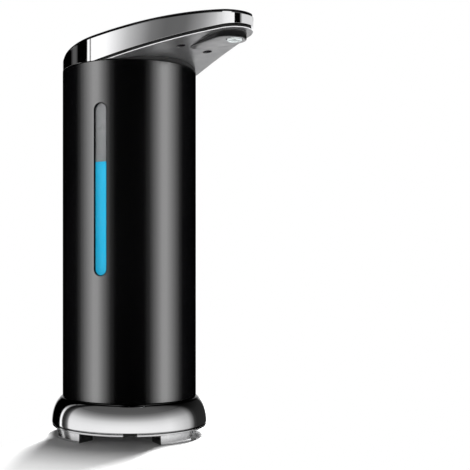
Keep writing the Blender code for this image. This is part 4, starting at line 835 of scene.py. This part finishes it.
def gloss_panel():
    """The gloss black top with its openings."""
    panel = stacked("gloss_panel", [
        (PLUG_INSET, panel_bottom), (PLUG_INSET, panel_ledge), (PANEL_SETBACK, panel_ledge),
        *rounded_edge(PANEL_SETBACK, top_height, PANEL_ROUND)], capped=True)
    tools = [laid(disc("cap_hole", CAP_RADIUS + GAP, -CAP_PLUG_DEPTH, OVERRUN, steps=TURN_STEPS),
                  on_top(CAP_ALONG))]
    tools += [laid(disc("small_hole", radius + GAP, -PANEL_DEPTH - OVERRUN, OVERRUN), on_top(along, across))
              for radius, along, across in ((BUTTON_RADIUS, BUTTON_ALONG, -BUTTON_ACROSS),
                                            (BUTTON_RADIUS, BUTTON_ALONG, BUTTON_ACROSS),
                                            (LIGHT_RADIUS, LIGHT_ALONG, 0.0))]
    return true_normals(shade(carve(panel, *tools)), curved_face(top_height, 1))


def refill_cap():
    """The refill cap: rounded disc, plug with its groove, and a coin slot."""
    groove_radius, groove_low, groove_high = CAP_GROOVE
    cap = turned("refill_cap", [
        (0, -CAP_PLUG_DEPTH), (CAP_PLUG, -CAP_PLUG_DEPTH), (CAP_PLUG, -groove_low),
        (groove_radius, -groove_low), (groove_radius, -groove_high), (CAP_PLUG, -groove_high),
        (CAP_PLUG, -PANEL_DEPTH), (CAP_RADIUS, -PANEL_DEPTH)]
        + high_edge(CAP_RADIUS, CAP_PROUD, CAP_ROUND) + [(0, CAP_PROUD)], place=(0, 0))
    length, width, depth = COIN_SLOT
    slot = prism("coin_slot", capsule((length - width) / 2, width / 2), CAP_PROUD - depth,
                 CAP_PROUD + OVERRUN)
    carve(cap, laid(slot, Matrix.Rotation(math.pi / 2, 4, "Z")))
    soften(cap, SHY * 2, angle=60)
    return laid(shade(cap), on_top(CAP_ALONG))


def press_button(name, side, bars):
    """A push button with an engraved mark."""
    flange_radius, flange_height = BUTTON_FLANGE
    under = -PANEL_DEPTH - GAP
    button = turned(name, [
        (0, under - flange_height), (flange_radius, under - flange_height), (flange_radius, under),
        (BUTTON_RADIUS, under)] + high_edge(BUTTON_RADIUS, BUTTON_PROUD, BUTTON_ROUND)
        + [(0, BUTTON_PROUD)], SMALL_STEPS, (0, 0))
    length, width, depth = MARK
    for turn in bars:
        bar = prism("mark", rectangle(length, width), BUTTON_PROUD - depth, BUTTON_PROUD + OVERRUN)
        carve(button, laid(bar, Matrix.Rotation(turn, 4, "Z")))
    return laid(shade(button), on_top(BUTTON_ALONG, side * BUTTON_ACROSS))


def light_guide():
    """The small light, with a domed top."""
    dome = [(LIGHT_RADIUS * math.cos(angle), SHY * math.sin(angle) - SHY) for angle in QUARTER[:-1]]
    guide = turned("light_guide", [(0, -LIGHT_DEPTH), (LIGHT_RADIUS, -LIGHT_DEPTH)] + dome + [(0, 0)],
                   SMALL_STEPS, (0, 0))
    return laid(shade(guide), on_top(LIGHT_ALONG))


def outlet():
    """The nozzle with a rounded lip."""
    mouth_top = NOZZLE_BOTTOM + NOZZLE_MOUTH_DEPTH
    bore_top = NOZZLE_TOP - NOZZLE_BORE
    lip = arc((NOZZLE_MOUTH + NOZZLE_ROUND, NOZZLE_BOTTOM + NOZZLE_ROUND), NOZZLE_ROUND, math.pi,
              1.5 * math.pi, ROUND_STEPS) + low_edge(NOZZLE_RADIUS, NOZZLE_BOTTOM, NOZZLE_ROUND)
    return shade(turned("outlet", lip + [
        (NOZZLE_RADIUS, NOZZLE_TOP), (0, NOZZLE_TOP), (0, bore_top), (NOZZLE_BORE, bore_top),
        (NOZZLE_BORE, mouth_top), (NOZZLE_MOUTH, mouth_top)], SMALL_STEPS, spot(NOZZLE_ALONG)))


def sensor_window(name, side):
    """A dark infrared window with a faint dome."""
    low = under_height(SENSOR_ALONG) + WINDOW_RECESS
    top = floor_top(SENSOR_ALONG)
    dome = [(WINDOW_RADIUS * math.sin(angle), low + WINDOW_DOME * (1 - math.cos(angle)))
            for angle in QUARTER[1:]]
    return shade(turned(name, [(0, low)] + dome + [(WINDOW_RADIUS, top), (0, top)], SMALL_STEPS,
                        spot(SENSOR_ALONG, side * SENSOR_ACROSS)))


def add_node(tree, kind, feeds=(), **settings):
    """A new shader node with its settings, its inputs fed as below."""
    made = tree.nodes.new("ShaderNode" + kind)
    for label, value in settings.items():
        setattr(made, label, value)
    feed(tree, made, feeds)
    return made


def feed(tree, node, feeds):
    """Set a node's inputs, by label or number, to plain values, or link the sockets given for them."""
    for label, value in dict(feeds).items():
        if isinstance(value, bpy.types.NodeSocket):
            tree.links.new(value, node.inputs[label])
        else:
            node.inputs[label].default_value = value


def numbers(tree, operation, *given):
    """A math node's result from one or two sockets or numbers."""
    return add_node(tree, "Math", enumerate(given), operation=operation).outputs[0]


def ranged(tree, value, span, to=WHOLE):
    """A value that goes from one number to another while the given one crosses its span."""
    return add_node(tree, "MapRange", {"Value": value, "From Min": span[0], "From Max": span[1],
                                       "To Min": to[0], "To Max": to[1]}).outputs["Result"]


def mixed(tree, share, first, second):
    """A colour between two."""
    feeds = {"Factor": share, "A": first, "B": second}
    return add_node(tree, "Mix", feeds, data_type="RGBA").outputs["Result"]


def new_material(name):
    made = bpy.data.materials.new(name)
    made.use_nodes = True
    return made, made.node_tree


def effect_group(name, stretch, coarse_share):
    """A shader group of two sizes of noise. Tone varies softly over the surface, and Height is for bump."""
    group = bpy.data.node_groups.new(name, "ShaderNodeTree")
    for label, way, kind in (("Place", "INPUT", "Vector"), ("Scale", "INPUT", "Float"),
                             ("Tone", "OUTPUT", "Float"), ("Height", "OUTPUT", "Float")):
        group.interface.new_socket(label, in_out=way, socket_type="NodeSocket" + kind)
    given = group.nodes.new("NodeGroupInput").outputs
    spread = add_node(group, "Mapping", {"Vector": given["Place"], "Scale": stretch}).outputs["Vector"]
    wide = numbers(group, "MULTIPLY", given["Scale"], coarse_share)
    coarse = add_node(group, "TexNoise", {"Vector": spread, "Scale": wide, "Detail": COARSE_DETAIL})
    fine = add_node(group, "TexNoise", {"Vector": spread, "Scale": given["Scale"], "Detail": FINE_DETAIL})
    tone = ranged(group, coarse.outputs["Fac"], TONE_SPAN)
    feed(group, group.nodes.new("NodeGroupOutput"), {"Tone": tone, "Height": fine.outputs["Fac"]})
    return group


def finish(name, effect, scale, colour, tint, roughness, bump, metallic=0.0):
    """A finish: colour and roughness drift with the effect's tone, and its height gives the fine relief.
    Faces marked in the object's own shade get painted shade.
    """
    made, tree = new_material(name)
    place = add_node(tree, "TexCoord").outputs["Object"]
    group = add_node(tree, "Group", {"Place": place, "Scale": scale}, node_tree=effect)
    tone = group.outputs["Tone"]
    # Painted shade: faces marked in the object's own shade are mixed towards a near-black colour
    marked = add_node(tree, "Attribute", attribute_name="painted_shade").outputs["Fac"]
    drifting = mixed(tree, tone, (*colour, 1.0), (*tint, 1.0))
    relief = add_node(tree, "Bump", {"Height": group.outputs["Height"], "Strength": bump[0],
                                     "Distance": bump[1] * MM})
    feed(tree, tree.nodes["Principled BSDF"], {
        "Base Color": mixed(tree, marked, drifting, PAINTED_SHADE_COLOUR),
        "Roughness": ranged(tree, tone, WHOLE, roughness),
        "Normal": relief.outputs["Normal"], "Metallic": metallic, **FINISH_EXTRAS.get(name, {})})
    return made


def finishes():
    """Every finish by the record's slot. The clear tank is milky above the soap."""
    effects = {name: effect_group(name, *row) for name, row in EFFECTS.items()}
    looks = {name: finish(name, effects[effect], *row) for name, (effect, *row) in FINISHES.items()}
    tree = looks["clear_plastic"].node_tree
    place = add_node(tree, "TexCoord").outputs["Object"]
    height = add_node(tree, "SeparateXYZ", {"Vector": place}).outputs["Z"]
    milky = ranged(tree, height, (SOAP_LEVEL - THINNEST, SOAP_LEVEL + THINNEST), TANK_ALPHA)
    feed(tree, tree.nodes["Principled BSDF"], {"Alpha": milky})
    return looks


def camera_place():
    return around(0, CAMERA_DISTANCE, CAMERA_HEIGHT) + around(90, CAMERA_RIGHT, 0) - AXIS


def place_camera():
    data = bpy.data.cameras.new("camera")
    data.sensor_width = SENSOR_WIDTH
    data.lens = PHOTO_FOCAL / PHOTO_SIZE * SENSOR_WIDTH
    data.shift_x = 0.5 - PHOTO_CENTRE[0] / PHOTO_SIZE
    data.shift_y = PHOTO_CENTRE[1] / PHOTO_SIZE - 0.5
    data.clip_start, data.clip_end = CAMERA_CLIP
    camera = linked("camera", data)
    camera.location = camera_place()
    camera.rotation_euler = (math.pi / 2, 0, CAMERA_AZIMUTH)
    bpy.context.scene.camera = camera


def around(azimuth, radius, height):
    """A place round the tank's axis; the azimuth is in degrees to the right of the camera's side."""
    angle = CAMERA_AZIMUTH + math.radians(azimuth)
    return Vector((radius * math.sin(angle), AXIS_Y - radius * math.cos(angle), height))


def light_only(source, lit):
    """Let a light or a glowing cloth reach the given pieces alone."""
    group = bpy.data.collections.new(f"{source.name}_lit")
    for piece in lit:
        group.objects.link(piece)
    source.light_linking.receiver_collection = group


def area_light(name, place, target, size, strength, lit, seen_in_gloss=True):
    """A soft light of so many times white, which only the given pieces get."""
    data = bpy.data.lights.new(name, "AREA")
    data.shape = "RECTANGLE"
    data.size, data.size_y = size
    data.energy = strength * math.pi * math.prod(size)
    made = linked(name, data)
    made.location = place
    made.rotation_euler = (target - place).to_track_quat("-Z", "Y").to_euler()
    made.visible_camera = False
    made.visible_glossy = seen_in_gloss
    light_only(made, lit)


def card(name, azimuth, width, radius, rows, tone, lit):
    """An upright soft card, so many degrees wide, which faces the tank's axis."""
    size = (2 * radius * math.tan(math.radians(width / 2)), rows[1] - rows[0])
    middle = sum(rows) / 2
    area_light(name, around(azimuth, radius, middle), around(0, 0, middle), size, tone, lit)


def soft_cards(lit):
    """All cards, each for the pieces that it lights."""
    for number, (azimuth, width, tone) in enumerate(BAND_CARDS):
        card(f"band_card_{number + 1}", azimuth, width, BAND_CARD_RADIUS + CARD_SPACING * number,
             BAND_CARD_ROWS, tone, lit["band"])
    for number, (width, shift, tone) in enumerate(TUBE_STRIPS):
        for side, azimuth, way in STRIP_PLACES:
            card(f"strip_{side}_{number + 1}", azimuth + way * shift, width,
                 STRIP_RADIUS + CARD_SPACING * number, STRIP_ROWS, tone, lit["tube"])
    for name, (azimuths, *size_and_tone, group) in CARDS.items():
        for number, azimuth in enumerate(azimuths):
            card(f"{name}_{number + 1}", azimuth, *size_and_tone, lit[group])


def key_light():
    """The sun that throws the object's shadow."""
    place, strength, width = KEY
    sun = bpy.data.lights.new("key", "SUN")
    sun.energy = strength
    sun.angle = width
    key = linked("key", sun)
    key.location = around(*place)
    key.rotation_euler = (key.location - AXIS).to_track_quat("Z", "Y").to_euler()
    key.visible_glossy = False


def seen_directly(tree):
    """1 for camera, glossy and transmission rays."""
    rays = add_node(tree, "LightPath").outputs
    either = numbers(tree, "MAXIMUM", rays["Is Camera Ray"], rays["Is Glossy Ray"])
    return numbers(tree, "MAXIMUM", either, rays["Is Transmission Ray"])


def white_world():
    """White where the camera, metal and glass look past everything; plain soft light otherwise."""
    world = bpy.data.worlds.new("studio")
    bpy.context.scene.world = world
    world.use_nodes = True
    tree = world.node_tree
    strength = ranged(tree, seen_directly(tree), WHOLE, (AMBIENT, 1.0))
    feed(tree, tree.nodes["Background"], {"Color": WHITE, "Strength": strength})


def pale_floor():
    """The floor: white, keeping the object's shadow, which a painted glow fades away from the base and
    narrows at its sides.
    """
    shape = bmesh.new()
    shape.faces.new([shape.verts.new((x, y, 0)) for x, y in rectangle(FLOOR_SIZE, FLOOR_SIZE)])
    floor = new_object("floor", shape)
    made, tree = new_material("floor")
    place = add_node(tree, "TexCoord").outputs["Object"]
    away = add_node(tree, "VectorMath", {0: place, 1: AXIS}, operation="DISTANCE").outputs["Value"]
    beside = add_node(tree, "VectorMath", {0: place, 1: AXIS}, operation="SUBTRACT").outputs["Vector"]
    across = add_node(tree, "VectorMath", {0: beside, 1: around(SHADOW_TURN + 90, 1, 0) - AXIS},
                      operation="DOT_PRODUCT").outputs["Value"]
    wide = numbers(tree, "ABSOLUTE", across)
    # Painted light: glow rising away from the base and beside the shadow's strip fades and narrows the
    # shadow
    fade = add_node(tree, "ValToRGB", {"Fac": away})
    stops = fade.color_ramp.elements
    for position, value in FLOOR_GLOW[1:-1]:
        stops.new(position)
    for stop, (position, value) in zip(stops, FLOOR_GLOW):
        stop.position, stop.color = position, (value, value, value, 1)
    edge = numbers(tree, "MULTIPLY", ranged(tree, wide, PAINTED_SHADOW_EDGE), ranged(tree, away, BASE_SHADE))
    glow = numbers(tree, "MAXIMUM", fade.outputs["Color"], edge)
    far = numbers(tree, "MULTIPLY", ranged(tree, wide, FAR_EDGE), ranged(tree, away, FAR_SHADE))
    far = numbers(tree, "MAXIMUM", far, ranged(tree, away, FAR_FLOOR))
    seen = seen_directly(tree)
    feed(tree, tree.nodes["Principled BSDF"], {
        "Base Color": mixed(tree, numbers(tree, "MULTIPLY", seen, far), FLOOR_COLOUR, BLACK),
        "Roughness": FLOOR_ROUGHNESS, "Specular IOR Level": 0.0,
        "Emission Color": WHITE, "Emission Strength": numbers(tree, "MULTIPLY", seen, glow)})
    floor.data.materials.append(made)


def between(table, place):
    """Straight lines between the (place, value) pairs of a table."""
    if place <= table[0][0]:
        return table[0][1]
    for (low, first), (high, second) in zip(table, table[1:]):
        if place <= high:
            return first + (second - first) * (place - low) / (high - low)
    return table[-1][1]


def studio_cloth(name, rows, lit):
    """Glowing cloth between rows of (place, tone) points, which only the lit pieces mirror."""
    shape = bmesh.new()
    layer = shape.verts.layers.float_color.new("tone")
    made = []
    for row in rows:
        made.append([shape.verts.new(place) for place, tone in row])
        for point, (place, tone) in zip(made[-1], row):
            point[layer] = (tone, tone, tone, 1.0)
    for first, second in zip(made, made[1:]):
        for step in range(len(first) - 1):
            shape.faces.new((first[step], first[step + 1], second[step + 1], second[step]))
    if len(made) == 1:
        shape.faces.new(made[0])
    cloth = new_object(name, shape)
    material, tree = new_material(name)
    tree.nodes.remove(tree.nodes["Principled BSDF"])
    tone = add_node(tree, "Attribute", attribute_name="tone")
    glow = add_node(tree, "Emission", {"Color": tone.outputs["Color"]})
    feed(tree, tree.nodes["Material Output"], {"Surface": glow.outputs[0]})
    cloth.data.materials.append(material)
    for rays in ("camera", "diffuse", "transmission", "shadow"):
        setattr(cloth, f"visible_{rays}", False)
    light_only(cloth, lit)


def tent_wall(name, rows, table, lit):
    """A round wall of white cloth and dark flags, with a row for each (radius, height, share)."""
    turns = [360.0 * step / TENT_STEPS - 180.0 for step in range(TENT_STEPS + 1)]
    studio_cloth(name, [[(around(turn, radius, height), between(table, turn) * share) for turn in turns]
                        for radius, height, share in rows], lit)


def mirrored_floor(lit):
    """The floor as the base mirrors it: each line of sight keeps the tent's tone all along its way out."""
    rows = [[] for share in FLOOR_SHARES]
    for step in range(-TENT_STEPS // 2, TENT_STEPS // 2 + 1):
        turn = 360.0 * step / TENT_STEPS
        seen = max(-FLOOR_VIEW, min(FLOOR_VIEW, turn))
        start = around(seen, BASE_RADIUS, FLOOR_SHEET)
        out = outward(start)
        sight = start - camera_place()
        sight.z = 0
        sight.normalize()
        ray = sight - 2 * sight.dot(out) * out
        ahead = (start - AXIS).dot(ray)
        end = start + (math.sqrt(ahead**2 + TENT_LOW**2 - BASE_RADIUS**2) - ahead) * ray
        azimuth = math.degrees(math.atan2(end.x, AXIS_Y - end.y) - CAMERA_AZIMUTH)
        azimuth = (azimuth + 180) % 360 - 180
        if turn != seen:
            behind = (abs(turn) - FLOOR_VIEW) / (180 - FLOOR_VIEW)
            azimuth += math.copysign(180 - abs(azimuth), azimuth) * behind
            start = around(turn, BASE_RADIUS, FLOOR_SHEET)
            end = around(azimuth, TENT_LOW, FLOOR_SHEET)
        value = between(SKIRT_TONES, azimuth)
        # The mirrored floor is dimmer near the base: painted shade
        for row, (share, strength) in zip(rows, FLOOR_SHARES):
            row.append((start.lerp(end, share), value * strength))
    studio_cloth("tent_floor", rows, lit)


def studio(pieces):
    """Floor, white surroundings, tent and lights."""
    pale_floor()
    white_world()
    lit = {group: [pieces[name] for name in names] for group, names in LIT_GROUPS.items()}
    tent_wall("tent_low", SKIRT_ROWS, SKIRT_TONES, lit["chrome"])
    tent_wall("tent_band", BAND_ROWS, BAND_TONES, lit["band"])
    tent_wall("tent_high", SKIRT_HIGH_ROWS, SKIRT_TONES, lit["chrome"])
    mirrored_floor(lit["chrome"])
    studio_cloth("tent_ceiling", [[(around(360.0 * step / SMALL_STEPS, TENT_HIGH, CEILING), 1.0)
                                   for step in range(SMALL_STEPS)]], lit["band"] + lit["top"])
    soft_cards(lit)
    for name, (place, size, strength), target in (
            ("fill", FILL, (0, AXIS_Y, RIM_HEIGHT)),
            ("outlet_light", OUTLET_LIGHT, (*spot(NOZZLE_ALONG), NOZZLE_BOTTOM))):
        area_light(name, around(*place), Vector(target), size, strength, lit[name], seen_in_gloss=False)
    key_light()


def main():
    bpy.context.scene.view_settings.view_transform = "Standard"
    looks = finishes()
    slots = {row["node"]: row["material_slot"] for row in frame["record"]["subparts"]}
    for name, node in frame["nodes"].items():
        node.data.materials.clear()
        node.data.materials.append(looks[slots[name]])
    pieces = {}

    def put(node, *made, body="body"):
        """Hand finished pieces to their body, in place of a plain solid."""
        for piece in made:
            piece.data.materials.clear()
            piece.data.materials.append(looks[slots[node]])
            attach(piece, body)
            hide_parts(node)
            pieces[piece.name] = piece

    place_camera()
    put("base_skirt", skirt_ring())
    put("bottom_cover", *cover_and_feet(), body="bottom_cover")
    put("outer_sleeve", tube_with_slot(), slot_liner())
    put("window_lens", level_lens())
    tank, soap = tank_and_soap()
    put("inner_tank", tank)
    put("soap_fill", soap)
    put("neck_collar", collar_ring())
    put("head_lower_shell", lower_shell(), nozzle_pad())
    put("chrome_band", polished_band())
    put("band_gasket", groove_seal())
    put("top_panel", gloss_panel())
    put("filler_cap", refill_cap(), body="filler_cap")
    put("plus_button", press_button("plus_key", 1, (0, math.pi / 2)), body="plus_button")
    put("minus_button", press_button("minus_key", -1, (0,)), body="minus_button")
    put("status_light", light_guide())
    put("nozzle", outlet())
    put("emitter_lens", sensor_window("emitter_window", -1))
    put("receiver_lens", sensor_window("receiver_window", 1))
    studio(pieces)


main()
